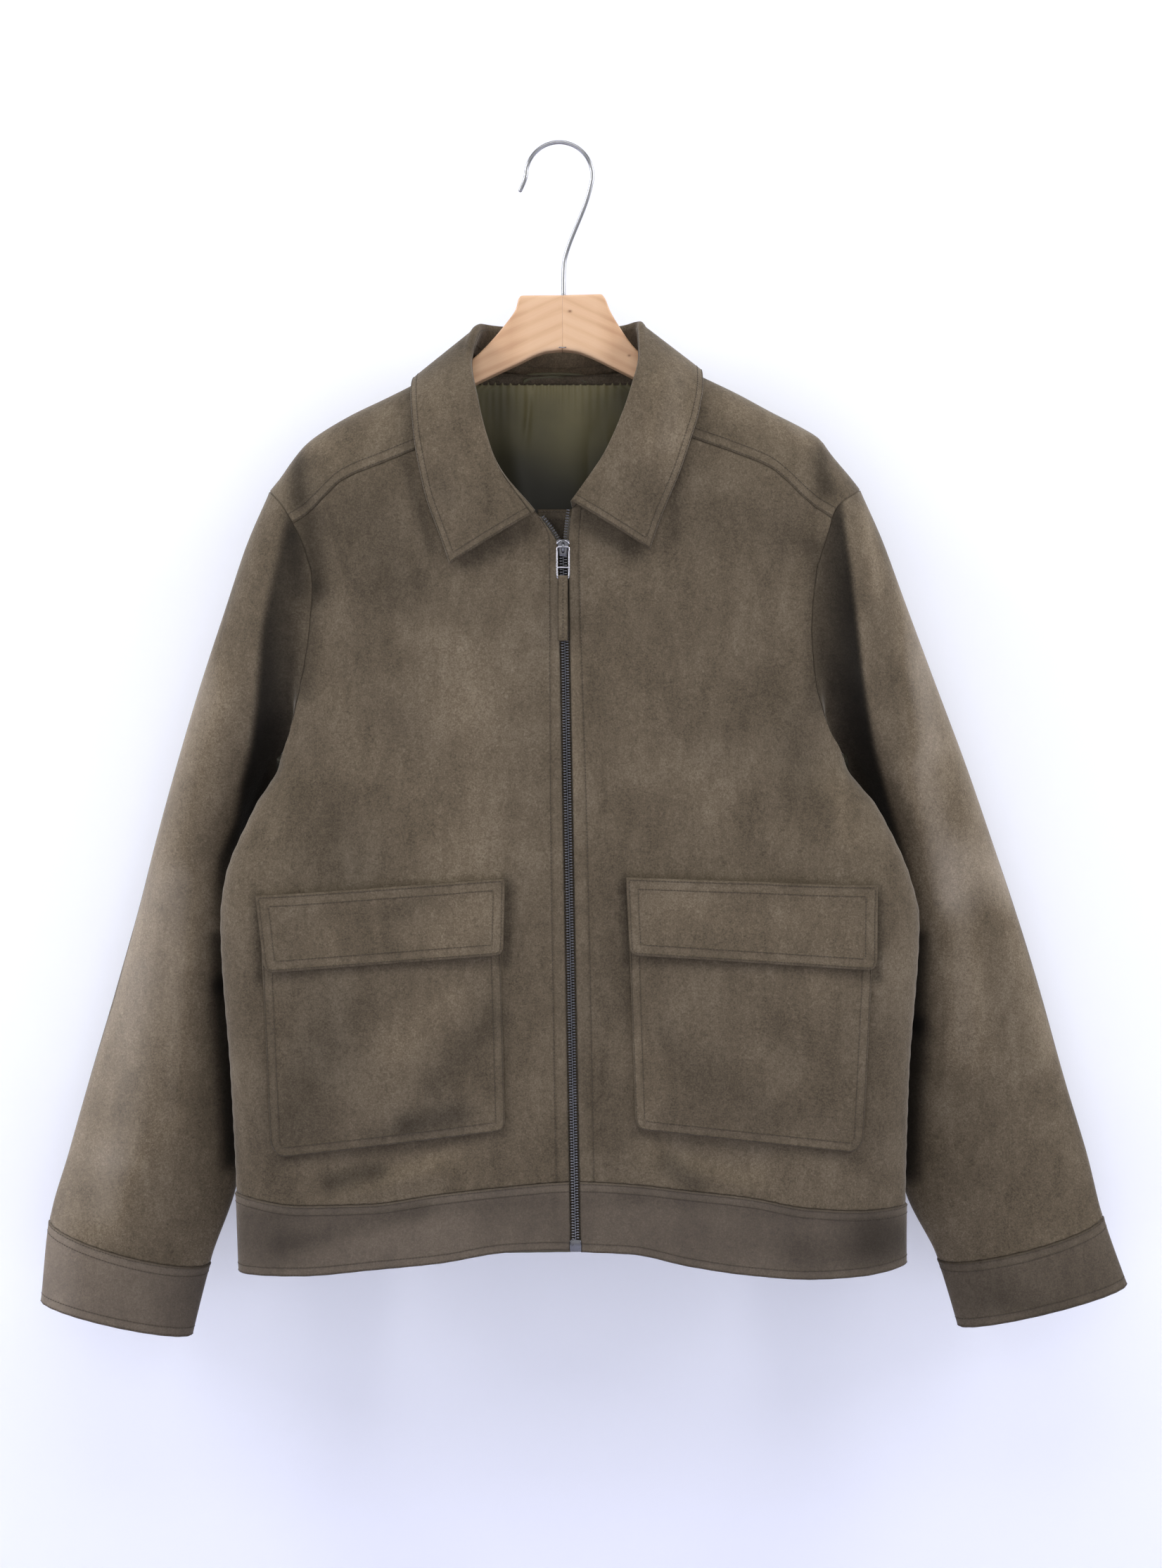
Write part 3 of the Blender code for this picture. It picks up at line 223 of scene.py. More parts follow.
def lineBell(x, z, ax, az, bx, bz, width):
    # exp of minus the square of the distance from the line between two ends, in widths
    span = (bx - ax) ** 2 + (bz - az) ** 2
    t = np.clip(((x - ax) * (bx - ax) + (z - az) * (bz - az)) / span, 0.0, 1.0)
    away = np.hypot(x - ax - t * (bx - ax), z - az - t * (bz - az))
    return np.exp(-(away / width) ** 2)


def foldDepth(face, x, z):
    total = np.zeros(np.broadcast(x, z).shape)
    for foldFace, *line, depth in panelFolds:
        total = total + np.where(face == foldFace, depth * lineBell(x, z, *line), 0.0)
    return total


def bodyTerms(face, x, z):
    # the middle of the depth, half the depth, and a rounding that is 0 at sides and shoulders
    low, high = bodySize("left", z), bodySize("right", z)
    across = np.clip((x - (low + high) / 2) / ((high - low) / 2), -1.0, 1.0)
    middle = bodySize("side", z) * across ** bodyForm["sidePower"]
    depth = np.where(face == front, bodySize("front", z), bodySize("back", z))
    below = np.clip((shoulderZ(x) - z) / bodyForm["shoulderDepth"], 0.0, 1.0)
    return middle, depth, (1 - np.abs(across) ** bodyForm["foldPower"]) * (1 - (1 - below) ** 3)


def bodyAt(face, x, z):
    # y = middle + depth * root(rounding), so both faces meet upright at sides and shoulders
    face, x, z = np.broadcast_arrays(np.asarray(face, float), x, z)
    middle, depth, rounding = bodyTerms(face, x, z)
    y = middle + face * (depth + foldDepth(face, x, z)) * np.sqrt(rounding)
    return stacked(x, y, z).astype(float)


def bodyNormals(face, points):
    # slope of ((y - middle) / depth)^2 - rounding, which is zero on the body
    face = np.broadcast_to(np.asarray(face, float), points.shape[:-1])

    def level(p):
        middle, depth, rounding = bodyTerms(face, p[..., 0], p[..., 2])
        depth = depth + foldDepth(face, p[..., 0], p[..., 2])
        return ((p[..., 1] - middle) / depth) ** 2 - rounding
    shifts = np.eye(3) * 0.4
    return unit(stacked(*[level(points + shift) - level(points - shift) for shift in shifts]))


def laid(face, x, z):
    # a sheet on the body, with its normals
    sheet = bodyAt(face, x, z)
    return sheet, bodyNormals(face, sheet)


# tone marks, piece by piece, partly the nap's own brushing and partly painted shade and painted
# light: painted shade along and under the flaps, in the pocket folds, under the collar, beside the
# sleeves' inner edges, on the zip guard and low in the lining, and painted light on the lit parts
# of the sleeves, yoke, collar and cuffs; each is a line's two ends, half width and change of tone
leftPocketMarks = [(-43, -634, -224, -648, 4.5, -0.06), (-125, -700, -85, -665, 16, 0.14),
                   (-50, -680, -95, -730, 13, -0.18), (-78, -752, -114, -759, 11, -0.32),
                   (-114, -761, -142, -770, 7, -0.14),
                   (-182, -705, -200, -755, 30, -0.20), (-160, -668, -190, -650, 26, -0.10)]
rightPocketMarks = [(55, -634, 241, -646, 4.5, -0.06), (80, -690, 110, -735, 12, -0.10),
                    (118, -715, 160, -755, 16, -0.10),
                    (58, -705, 70, -765, 18, 0.08), (222, -700, 226, -770, 26, -0.05),
                    (196, -655, 206, -640, 18, 0.07), (170, -690, 178, -704, 16, -0.05)]
napAndPaintedLightMarks = {
    "front_left": leftPocketMarks + [
        (-39, -574, -40, -636, 4.0, -0.30), (-229, -586, -226, -650, 4.0, -0.26),
        (-215, -787, -42, -767, 5.0, -0.12),
        (-174, -804, -138, -796, 7, -0.36), (-130, -796, -96, -784, 8, 0.05),
        (-244, -640, -244, -815, 34, -0.03), (-172, -545, -165, -560, 30, -0.14),
        (-72, -440, -72, -640, 34, 0.12), (-112, -510, -108, -535, 14, 0.08),
        (-150, -300, -126, -345, 30, -0.15), (-118, -250, -97, -320, 5, -0.16),
        (-72, -330, -22, -304, 7, -0.20), (-192, -300, -187, -350, 11, -0.36),
        (-188, -350, -196, -430, 8, -0.22),
        (-98, -790, -78, -783, 8, 0.08), (-150, -470, -140, -500, 26, 0.05),
        (-100, -385, -60, -400, 18, 0.05), (-128, -446, -96, -470, 14, -0.02)],
    "front_right": rightPocketMarks + [
        (50.0, -574, 52.6, -636, 4.0, -0.30), (243.0, -580, 242.4, -648, 4.0, -0.26),
        (228, -785, 60, -766.5, 5.0, -0.12), (12, -390, 9, -500, 9, 0.11),
        (32, -660, 40, -790, 30, -0.08), (252, -690, 250, -815, 30, -0.06),
        (120, -300, 195, -310, 26, -0.08), (199, -320, 197, -440, 9, -0.20),
        (90, -250, 88, -312, 5, -0.16), (18, -296, 58, -322, 9, -0.24),
        (84, -790, 104, -806, 9, -0.24), (118, -784, 152, -795, 9, 0.06),
        (174, -440, 186, -500, 18, -0.12), (212, -504, 222, -540, 10, 0.12),
        (60, -420, 70, -520, 26, 0.04), (110, -500, 130, -520, 20, 0.05)],
    "pocket_left": leftPocketMarks, "pocket_right": rightPocketMarks,
    "zip_guard": [(-7, -304, 9, -345, 14, -0.80)],
    "flap_left": [(-200, -600, -216, -630, 22, -0.04), (-112, -592, -130, -600, 8, -0.10),
                  (-64, -600, -90, -625, 24, 0.14), (-150, -616, -180, -622, 14, 0.06)],
    "flap_right": [(90, -600, 150, -614, 24, 0.12), (190, -600, 214, -618, 20, 0.09)],
    "yoke": [(-202, -250, -200, -282, 8, -0.36), (-190, -285, -180, -278, 16, -0.12),
             (203, -246, 205, -274, 8, -0.36), (-160, -225, -130, -222, 16, 0.05),
             (-188, -234, -170, -246, 14, 0.12), (190, -226, 215, -258, 12, 0.12),
             (112, -196, 180, -222, 17, 0.13),
             (-113, -196, -113, -240, 8, -0.18), (111, -190, 108, -230, 8, -0.12)],
    "waistband": [(-240, -830, -100, -824, 7, -0.10), (-100, -824, 60, -814, 7, -0.10),
                  (60, -816, 250, -834, 7, -0.10), (-250, -850, -216, -846, 24, -0.20),
                  (-210, -852, -110, -826, 9, -0.18), (-150, -850, -90, -846, 22, 0.04),
                  (-50, -832, -10, -834, 16, -0.05),
                  (14, -838, 110, -846, 26, -0.06), (150, -846, 180, -856, 24, -0.08),
                  (240, -846, 266, -850, 20, -0.46), (190, -856, 240, -864, 16, -0.16)],
    "sleeve_left": [
        (-292, -428, -404, -850, 34, 0.30), (-268, -372, -292, -430, 20, 0.08),
        (-204, -296, -198, -350, 9, -0.30), (-267, -622, -265, -660, 6, -0.60),
        (-265, -660, -256, -795, 8, -0.90), (-318, -590, -330, -770, 26, 0.14),
        (-294, -575, -300, -760, 14, 0.12), (-330, -650, -346, -790, 16, 0.09),
        (-350, -800, -352, -832, 19, 0.20)],
    "sleeve_right": [
        (300, -410, 352, -570, 32, 0.20), (352, -570, 392, -700, 20, 0.12),
        (270, -330, 288, -470, 13, 0.22), (282, -490, 303, -590, 14, 0.22),
        (282, -622, 279, -690, 7, -0.75), (280, -690, 273, -805, 8.5, -0.90),
        (312, -560, 318, -710, 20, 0.18), (238, -290, 246, -350, 8, 0.16)],
    "cuff_left": [(-400, -850, -400, -900, 44, 0.24), (-275, -880, -285, -930, 24, -0.09)],
    "cuff_right": [(300, -880, 440, -880, 60, -0.15), (330, -905, 345, -890, 14, -0.09),
                   (345, -905, 388, -908, 12, -0.14)],
    "lining_back": [(-60, -180, 60, -180, 12, 0.18), (48, -190, 51, -250, 9, -0.20),
                    (-44, -240, 60, -244, 18, -0.14), (-60, -300, 60, -300, 50, -0.90),
                    (-48, -190, -44, -240, 13, -0.24), (54, -192, 62, -225, 7, -0.20),
                    (-30, -262, 0, -270, 18, -0.40), (12, -200, 6, -250, 16, 0.12),
                    (-35, -296, 42, -306, 16, -0.50)],
    "collar": [(-100, -190, -88, -300, 20, 0.05), (90, -190, 82, -240, 24, 0.18),
               (-78, -160, -98, -180, 8, -0.10), (-92, -270, -84, -284, 9, -0.12),
               (66, -262, 58, -276, 9, -0.06), (-60, -230, -66, -262, 9, 0.10)]}

# painted shade in the hollow of a sleeve beside the body, with a sharp outer edge: the edge's z and
# x, the change there, its half width, and which way the sleeve lies from the edge
sleeveHollowShade = {
    "sleeve_left": dict(
        inwards=1.0, blur=5.0, z=[-600, -563, -529, -500, -470, -440, -410, -385, -350, -310, -285],
        x=[-266, -262, -248, -242, -234, -229, -226, -224, -217, -208, -203],
        change=[-0.20, -0.70, -1.20, -1.30, -1.30, -1.15, -1.00, -0.85, -0.65, -0.50, 0.0],
        width=[5, 7, 16, 24, 26, 26, 25, 24, 20, 16, 10]),
    "sleeve_right": dict(
        inwards=-1.0, blur=3.0, z=[-570, -552, -529, -500, -470, -424, -365, -300, -262],
        x=[273, 267, 259, 250, 241, 232, 225, 217, 212],
        change=[-0.10, -0.35, -0.80, -1.00, -1.20, -1.20, -1.00, -0.70, 0.0],
        width=[5, 6, 11, 18, 24, 26, 24, 18, 12])}
frontOnly = 22  # marks are left out behind this y


def napAndLightField(points, piece):
    # the marks' bells summed, nap tone with painted shade and painted light; a hollow's painted
    # shade fades slowly inwards and ends sharply at a painted paler lip; the marks of the outer
    # pieces stay on the front
    x, z = points[..., 0], points[..., 2]
    total = np.zeros(x.shape)
    if piece in sleeveHollowShade:
        line = sleeveHollowShade[piece]
        away = line["inwards"] * (x - through(line["z"], line["x"], z))
        change = through(line["z"], line["change"], z) * fadeIn(z, line["z"][0] - 20, line["z"][0])
        width = through(line["z"], line["width"], z)
        outside = np.exp(-(away / line["blur"]) ** 2)
        paintedLipLight = 0.09 * (1 - outside) * np.exp(-(away / 9.0) ** 2) * (change < -0.01)
        total = np.where(away > 0, change * np.exp(-(np.abs(away) / width) ** 1.6),
                         change * outside + paintedLipLight)
    for *line, change in napAndPaintedLightMarks.get(piece, []):
        total = total + change * lineBell(x, z, *line)
    return total if piece == "lining_back" else np.where(points[..., 1] < frontOnly, total, 0.0)


def newObject(name, points, faces, materials, faceMaterial=None, fields=None, smooth=True):
    faces = faces if isinstance(faces, list) else faces.tolist()
    mesh = bpy.data.meshes.new(name)
    mesh.from_pydata((np.asarray(points) * mm).tolist(), [], faces)
    mesh.polygons.foreach_set("use_smooth", np.full(len(mesh.polygons), smooth))
    for material in materials:
        mesh.materials.append(material)
    if faceMaterial is not None:
        mesh.polygons.foreach_set("material_index", np.asarray(faceMaterial, np.int32))
    for key, values in (fields or {}).items():
        mesh.attributes.new(key, "FLOAT", "POINT").data.foreach_set("value", values)
    mesh.update()
    made = bpy.data.objects.new(name, mesh)
    bpy.context.scene.collection.objects.link(made)
    return made


def gridFaces(rows, columns, closed=False):
    # squares between neighbouring rows and columns; closed joins the last column to the first
    r, c = np.meshgrid(np.arange(rows - 1), np.arange(columns if closed else columns - 1),
                       indexing="ij")
    d = (c + 1) % columns
    quads = np.stack([r * columns + c, r * columns + d, (r + 1) * columns + d,
                      (r + 1) * columns + c], axis=-1)
    return quads.reshape(-1, 4)


def edgeWays(sheet, closed):
    # how far each point is from each edge, measured along its row or column
    across = np.linalg.norm(np.diff(sheet, axis=1), axis=-1)
    down = np.linalg.norm(np.diff(sheet, axis=0), axis=-1)
    fromLeft = np.concatenate([np.zeros((len(sheet), 1)), np.cumsum(across, axis=1)], axis=1)
    fromTop = np.concatenate([np.zeros((1, sheet.shape[1])), np.cumsum(down, axis=0)])
    ways = dict(firstRow=fromTop, lastRow=fromTop[-1:] - fromTop)
    if not closed:
        ways.update(firstColumn=fromLeft, lastColumn=fromLeft[:, -1:] - fromLeft)
    return ways


# curl is the edge's radius in thicknesses; rows are the seam field at the two rows of stitches,
# beyond at an edge with one row, far where no seam is near
clothLook = dict(curl=0.48, rows=(1.5, 8.0), beyond=4.0, far=60.0)
cloths = {}


def cloth(name, sheet, normal, thick, materials, slot, replaces, stitched=(), rows=(1.5, 8.0),
          closed=False, lift=0.0, body="jacket", hangsFrom=(), declare=True, marks=None):
    # two sheets a thickness apart whose edges curl together in half circles, with three fields for
    # its material: the way to the nearest stitched seam, to the edge, and its nap field, which also
    # holds painted shade and painted light
    ways = edgeWays(sheet, closed)
    toEdge = np.min(list(ways.values()), axis=0)
    half = thick * clothLook["curl"]
    curl = half - np.sqrt(half ** 2 - (half - np.clip(toEdge, 0, half)) ** 2)
    outer = raised(sheet, normal, lift - curl)
    inner = raised(sheet, normal, lift - thick + curl)
    count, columns = sheet.shape[:2]
    size = count * columns
    facing = gridFaces(count, columns, closed)
    corner = outer[:2, :2].reshape(4, 3)
    turned = np.dot(np.cross(corner[1] - corner[0], corner[2] - corner[0]),
                    normal[:2, :2].reshape(4, 3).mean(axis=0)) < 0
    if not turned:
        facing = facing[:, ::-1]
    lining = facing[:, ::-1] + size
    last = size - columns
    first = np.arange(columns)
    rims = [first, last + first[::-1]]
    if closed:
        rims = [np.append(rim, rim[0]) for rim in rims]
    else:
        up = np.arange(count) * columns
        rims = [np.concatenate([first, up[1:] + columns - 1, last + first[::-1][1:],
                                up[::-1][1:]])]
    edges = np.concatenate([np.stack([rim[:-1], rim[1:]], axis=1) for rim in rims])
    rim = np.stack([edges[:, 0], edges[:, 1], edges[:, 1] + size, edges[:, 0] + size], axis=1)
    if not turned:
        rim = rim[:, ::-1]
    faces = np.concatenate([facing, lining, rim])
    indices = np.concatenate([np.zeros(len(facing)), np.ones(len(lining)), np.zeros(len(rim))])
    far = clothLook["far"]
    seam = np.full(toEdge.shape, far)
    for edge in stitched:
        seam = np.minimum(seam, ways[edge])
    # the field reads the same at every piece's rows, wherever they run
    near, second = clothLook["rows"]
    if len(rows) == 2:
        seam = np.interp(seam, [0, rows[0], rows[1], far], [0, near, second, far])
    else:
        seam = np.interp(seam, [0, rows[0], far], [clothLook["beyond"], second, far])
    napShadeAndLight = napAndLightField(sheet, marks or (replaces[0] if replaces else name))
    fields = {"seam": np.concatenate([seam.ravel()] * 2),
              "edge": np.concatenate([toEdge.ravel()] * 2),
              "nap": np.concatenate([napShadeAndLight.ravel()] * 2)}
    made = newObject(name, np.concatenate([outer.reshape(-1, 3), inner.reshape(-1, 3)]), faces,
                     materials, indices, fields)
    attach(made, body)
    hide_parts(*replaces)
    piece = dict(object=made, outer=outer, normal=normal, ways=ways, slot=slot, body=body,
                 hangsFrom=hangsFrom, stitched=stitched, rows=rows, declare=declare)
    cloths[name] = piece
    return piece


def insetLine(piece, edge, inset):
    # the line across a sheet that keeps one distance from one edge
    ways, outer, normal = piece["ways"], piece["outer"], piece["normal"]
    others = [ways[other] for other in piece["stitched"] if other != edge]
    flip = edge.startswith("last")
    byColumn = edge.endswith("Row")

    def lines(values):
        values = values if values.ndim == 3 else values[..., None]
        values = np.swapaxes(values, 0, 1) if byColumn else values
        return values[:, ::-1] if flip else values
    way = lines(ways[edge])[..., 0]
    i = np.clip((way < inset).sum(axis=1), 1, way.shape[1] - 1)
    line = np.arange(len(way))
    t = (inset - way[line, i - 1]) / np.maximum(way[line, i] - way[line, i - 1], 1e-6)

    def met(values):
        values = lines(values)
        return mixed(values[line, i - 1], values[line, i], np.clip(t, 0, 1)[:, None])
    keep = np.ones(len(way), bool)
    for other in others:
        keep &= met(other)[:, 0] >= inset - 0.01
    return met(outer)[keep], unit(met(normal)[keep])


# stitches are small capsules along lines
thread = dict(pitch=2.4, length=1.45, radius=0.36, lift=0.05, sunk=-0.25, body=0.55, flat=0.9)


def stitchSet(lines):
    # each stitch spans part of its pitch along a line: middle, direction, outward normal
    found = []
    pitch = thread["pitch"]
    for points, normals in lines:
        if len(points) < 2:
            continue
        way = np.concatenate([[0], np.cumsum(np.linalg.norm(np.diff(points, axis=0), axis=1))])
        count = int(way[-1] / pitch)
        if count < 1:
            continue
        spare = (way[-1] - count * pitch) / 2 + (pitch - thread["length"]) / 2
        starts = spare + pitch * np.arange(count)

        def at(d, values):
            return stacked(*[np.interp(d, way, column) for column in values.T])
        a, b = at(starts, points), at(starts + thread["length"], points)
        found.append(np.stack([(a + b) / 2, unit(b - a),
                               unit(at(starts + thread["length"] / 2, normals))], axis=1))
    return np.concatenate(found)


def stitchMesh(name, lines, material, body):
    # tip, two square rings, tip; the rings stand proud and the tips sink in
    middle, ahead, out = np.moveaxis(stitchSet(lines), 1, 0)
    aside = np.cross(ahead, out)
    half, radius, sunk = thread["length"] / 2, thread["radius"], thread["sunk"]
    shape = [(-half, 0, sunk)]
    for reach in (-thread["body"] * half, thread["body"] * half):
        for turn in range(4):
            angle = math.pi / 2 * turn + math.pi / 4
            shape.append((reach, radius * math.cos(angle),
                          thread["flat"] * radius * math.sin(angle)))
    shape = np.array(shape + [(half, 0, sunk)])
    points = (middle[:, None] + ahead[:, None] * shape[None, :, :1]
              + aside[:, None] * shape[None, :, 1:2]
              + out[:, None] * (shape[None, :, 2:] + thread["lift"]))
    faces = []
    for k in range(4):
        n = (k + 1) % 4
        faces += [(0, 1 + n, 1 + k), (1 + k, 1 + n, 5 + n), (1 + k, 5 + n, 5 + k),
                  (9, 5 + k, 5 + n)]
    faces = np.array(faces)[None] + 10 * np.arange(len(points))[:, None, None]
    made = newObject(name, points.reshape(-1, 3), faces.reshape(-1, 3), [material])
    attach(made, body)
    return made


def sewn(name, material):
    # the rows along a piece's stitched edges
    piece = cloths[name]
    lines = [insetLine(piece, edge, row) for edge in piece["stitched"] for row in piece["rows"]]
    piece["stitches"] = stitchMesh("stitches_" + name, lines, material,
                                   piece["body"])


class Wire:
    # a socket that can stand in a sum or product; each operator adds its Math node
    def __init__(self, finish, socket):
        self.finish, self.socket = finish, socket

    def maths(self, operation, *values):
        return self.finish.add("ShaderNodeMath", dict(operation=operation),
                               dict(enumerate(values)))

    def __add__(self, other):
        return self.maths("ADD", self, other)

    def __radd__(self, other):
        return self.maths("ADD", other, self)

    def __sub__(self, other):
        return self.maths("SUBTRACT", self, other)

    def __rsub__(self, other):
        return self.maths("SUBTRACT", other, self)

    def __mul__(self, other):
        return self.maths("MULTIPLY", self, other)

    def __rmul__(self, other):
        return self.maths("MULTIPLY", other, self)

    def __truediv__(self, other):
        return self.maths("DIVIDE", self, other)

    def __pow__(self, other):
        return self.maths("POWER", self, other)

    def __abs__(self):
        return self.maths("ABSOLUTE", self)

    def lowest(self, other):
        return self.maths("MINIMUM", self, other)

    def highest(self, other):
        return self.maths("MAXIMUM", self, other)

    def bell(self, middle, width):
        # exp of minus the square of the distance from the middle, in widths
        return self.maths("EXPONENT", ((self - middle) / width) ** 2.0 * -1.0)


# where the field's painted light begins to turn the colour grey as a painted sheen, the most that
# counts, and how grey it goes
paintedSheenLook = dict(start=0.3, most=0.7, share=0.55, grey=(0.30, 0.276, 0.256))


class Finish:
    # a material whose nodes come from add, with constants for its Principled sockets
    def __init__(self, name, **constants):
        self.material = bpy.data.materials.new(name)
        self.material.use_nodes = True
        self.tree = self.material.node_tree
        self.shader = self.tree.nodes["Principled BSDF"]
        for socket, value in constants.items():
            self.shader.inputs[socket.replace("_", " ")].default_value = value

    def add(self, kind, settings=None, inputs=None, out=0):
        node = self.tree.nodes.new(kind)
        for key, value in (settings or {}).items():
            if key == "stops":
                ramp = node.color_ramp
                while len(ramp.elements) < len(value):
                    ramp.elements.new(0.5)
                for element, (position, colour) in zip(ramp.elements, value):
                    element.position = position
                    element.color = (*colour, 1.0)
            else:
                setattr(node, key, value)
        for key, value in (inputs or {}).items():
            self.join(value, node.inputs[key])
        return Wire(self, node.outputs[out])

    def join(self, value, socket):
        if isinstance(value, Wire):
            self.tree.links.new(value.socket, socket)
        elif hasattr(socket.default_value, "__len__") and len(socket.default_value) == 4:
            socket.default_value = (*value[:3], 1.0)
        else:
            socket.default_value = value

    def place(self, scale=(1, 1, 1), shift=(0, 0, 0), turn=(0, 0, 0)):
        where = self.add("ShaderNodeTexCoord", out="Object")
        return self.add("ShaderNodeMapping", None,
                        {"Vector": where, "Location": shift, "Rotation": turn, "Scale": scale})

    def noise(self, where, scale, detail=2.0, roughness=0.5, distortion=0.0):
        return self.add("ShaderNodeTexNoise", None,
                        {"Vector": where, "Scale": scale, "Detail": detail,
                         "Roughness": roughness, "Distortion": distortion})

    def field(self, name):
        # a value that cloth() has written at each point
        return self.add("ShaderNodeAttribute", dict(attribute_name=name), out="Fac")

    def between(self, factor, first, second):
        return self.add("ShaderNodeMix", dict(data_type="RGBA"),
                        {0: factor, 6: first, 7: second}, out=2)

    def ramp(self, factor, stops):
        return self.add("ShaderNodeValToRGB", dict(stops=stops), {"Fac": factor})

    def napShadeAndLight(self, colour, strength):
        # the colour times e to the strength times the piece's own nap field, which holds painted
        # shade and painted light, and greyer as a painted sheen where that field is high
        amount = self.field("nap") * strength
        lit = self.add("ShaderNodeVectorMath", dict(operation="SCALE"),
                       {0: colour, 3: amount.maths("EXPONENT", amount)})
        grey = (amount - paintedSheenLook["start"]).highest(0.0).lowest(paintedSheenLook["most"])
        grey = grey * paintedSheenLook["share"]
        return self.between(grey, lit, paintedSheenLook["grey"])

    def bump(self, height, strength=1.0):
        # the height is in millimetres
        return self.add("ShaderNodeBump", None,
                        {"Height": height, "Strength": strength, "Distance": mm})

    def paint(self, **inputs):
        for socket, value in inputs.items():
            self.join(value, self.shader.inputs[socket.replace("_", " ")])
        return self.material


suedeLook = dict(
    deep=(0.024, 0.018, 0.011), dark=(0.057, 0.044, 0.029), middle=(0.1005, 0.0775, 0.0520),
    light=(0.149, 0.119, 0.0835), pale=(0.215, 0.178, 0.134),
    cloudScale=13.0, patchScale=46.0, streakScale=90.0, fibreScale=295.2, grainScale=820.0,
    clouds=0.56, patches=0.34, streaks=0.20, fibre=0.50, grain=0.66,
    sheen=0.35, markStrength=2.1, cooled=(0.125, 0.104, 0.092))


def suede(name, seed, cool=0.0):
    # brushed nap: clouds, patches, upright streaks, fibres and fine grain summed, then a ramp;
    # painted shade in the pinch of each row of stitches and at the folded edge, and a painted
    # highlight between the rows
    look = suedeLook
    finish = Finish(name, Sheen_Weight=look["sheen"], Sheen_Roughness=0.35,
                    Sheen_Tint=(0.80, 0.76, 0.70, 1.0), Specular_IOR_Level=0.12)
    where = finish.place(shift=(seed, seed * 0.37, seed * 0.71))
    upright = finish.place(scale=(1, 1, 0.35), shift=(seed * 1.3, 0, seed * 0.2))
    clouds = finish.noise(where, look["cloudScale"], 3.0, 0.55, 0.4)
    patches = finish.noise(upright, look["patchScale"], 3.0, 0.6, 0.8)
    streaks = finish.noise(upright, look["streakScale"], 2.0, 0.6, 0.3)
    grain = finish.noise(where, look["grainScale"], 2.0, 0.7)
    fibre = finish.noise(where, look["fibreScale"], 3.0, 0.6, 1.2)
    nap = (clouds - 0.5) * look["clouds"] + (patches - 0.5) * look["patches"]
    nap = nap + (streaks - 0.5) * look["streaks"] + (grain - 0.5) * look["grain"]
    nap = nap + (fibre - 0.5) * look["fibre"] + 0.5
    colour = finish.ramp(nap, [(0.0, look["deep"]), (0.25, look["dark"]), (0.5, look["middle"]),
                               (0.72, look["light"]), (1.0, look["pale"])])
    if cool:
        colour = finish.between(cool, colour, look["cooled"])
    colour = finish.napShadeAndLight(colour, look["markStrength"])
    seam = finish.field("seam")
    near, second = clothLook["rows"]
    pinch = seam.bell(near, 0.55) + seam.bell(second, 0.6)
    fold = finish.field("edge").bell(0.0, 0.9)
    ridge = seam.bell(4.6, 2.2)
    # painted shade in the stitch pinches and along the folded edge; below, a painted highlight
    # between the rows
    shade = (pinch * 0.26 + fold * 0.38).lowest(0.75)
    colour = finish.between(shade, colour, look["deep"])
    colour = finish.between(ridge * 0.05, colour, look["pale"])
    height = (grain - 0.5) * 0.18 + (fibre - 0.5) * 0.42 + (patches - 0.5) * 0.6
    height = height - pinch * 0.34 + ridge * 0.05
    return finish.paint(Base_Color=colour, Roughness=0.88 + (nap - 0.5) * 0.10,
                        Normal=finish.bump(height, 0.70))


satinLook = dict(dark=(0.062, 0.056, 0.033), middle=(0.097, 0.085, 0.042),
                 light=(0.140, 0.122, 0.064), markStrength=2.2)


def shaded(colour, times):
    return tuple(times * c for c in colour)


def satin(name, light):
    # smooth weave with a soft cloud of tone and faint cross threads
    look = satinLook
    finish = Finish(name, Specular_IOR_Level=0.27, Sheen_Weight=0.05)
    where = finish.place()
    cloud = finish.noise(where, 22.0, 2.0)
    weave = finish.noise(finish.place(scale=(1, 1, 9)), 900.0, 1.0)
    tone = (cloud - 0.5) * 0.8 + (weave - 0.5) * 0.25 + 0.5
    colour = finish.ramp(tone, [(0.0, shaded(look["dark"], light)),
                                (0.5, shaded(look["middle"], light)),
                                (1.0, shaded(look["light"], light))])
    colour = finish.napShadeAndLight(colour, look["markStrength"])
    return finish.paint(Base_Color=colour, Roughness=0.40 + (cloud - 0.5) * 0.12,
                        Normal=finish.bump((weave - 0.5) * 0.05 + (cloud - 0.5) * 0.6, 0.5))


def wovenTape(name):
    # fine slanting ribs: one wave along the diagonal, with a little fuzz added to it
    finish = Finish(name, Specular_IOR_Level=0.2)
    where = finish.place()
    ribs = finish.add("ShaderNodeTexWave", dict(wave_type="BANDS", bands_direction="DIAGONAL"),
                      {"Vector": where, "Scale": 540.0, "Distortion": 0.6, "Detail": 1.0})
    fuzz = finish.noise(where, 700.0)
    tone = ribs * 0.8 + fuzz * 0.2
    colour = finish.ramp(tone, [(0.15, (0.020, 0.017, 0.012)), (0.9, (0.22, 0.195, 0.16))])
    return finish.paint(Base_Color=colour, Roughness=0.82 + (fuzz - 0.5) * 0.1,
                        Normal=finish.bump(ribs * 0.15, 0.6))


def threadFinish(name, colour):
    # fine noise for the twist, darker and paler than the thread's own colour
    finish = Finish(name, Specular_IOR_Level=0.3)
    twist = finish.noise(finish.place(), 1400.0)
    shade = finish.between(twist, shaded(colour, 0.7), shaded(colour, 1.25))
    return finish.paint(Base_Color=shade, Roughness=0.62 + (twist - 0.5) * 0.2)


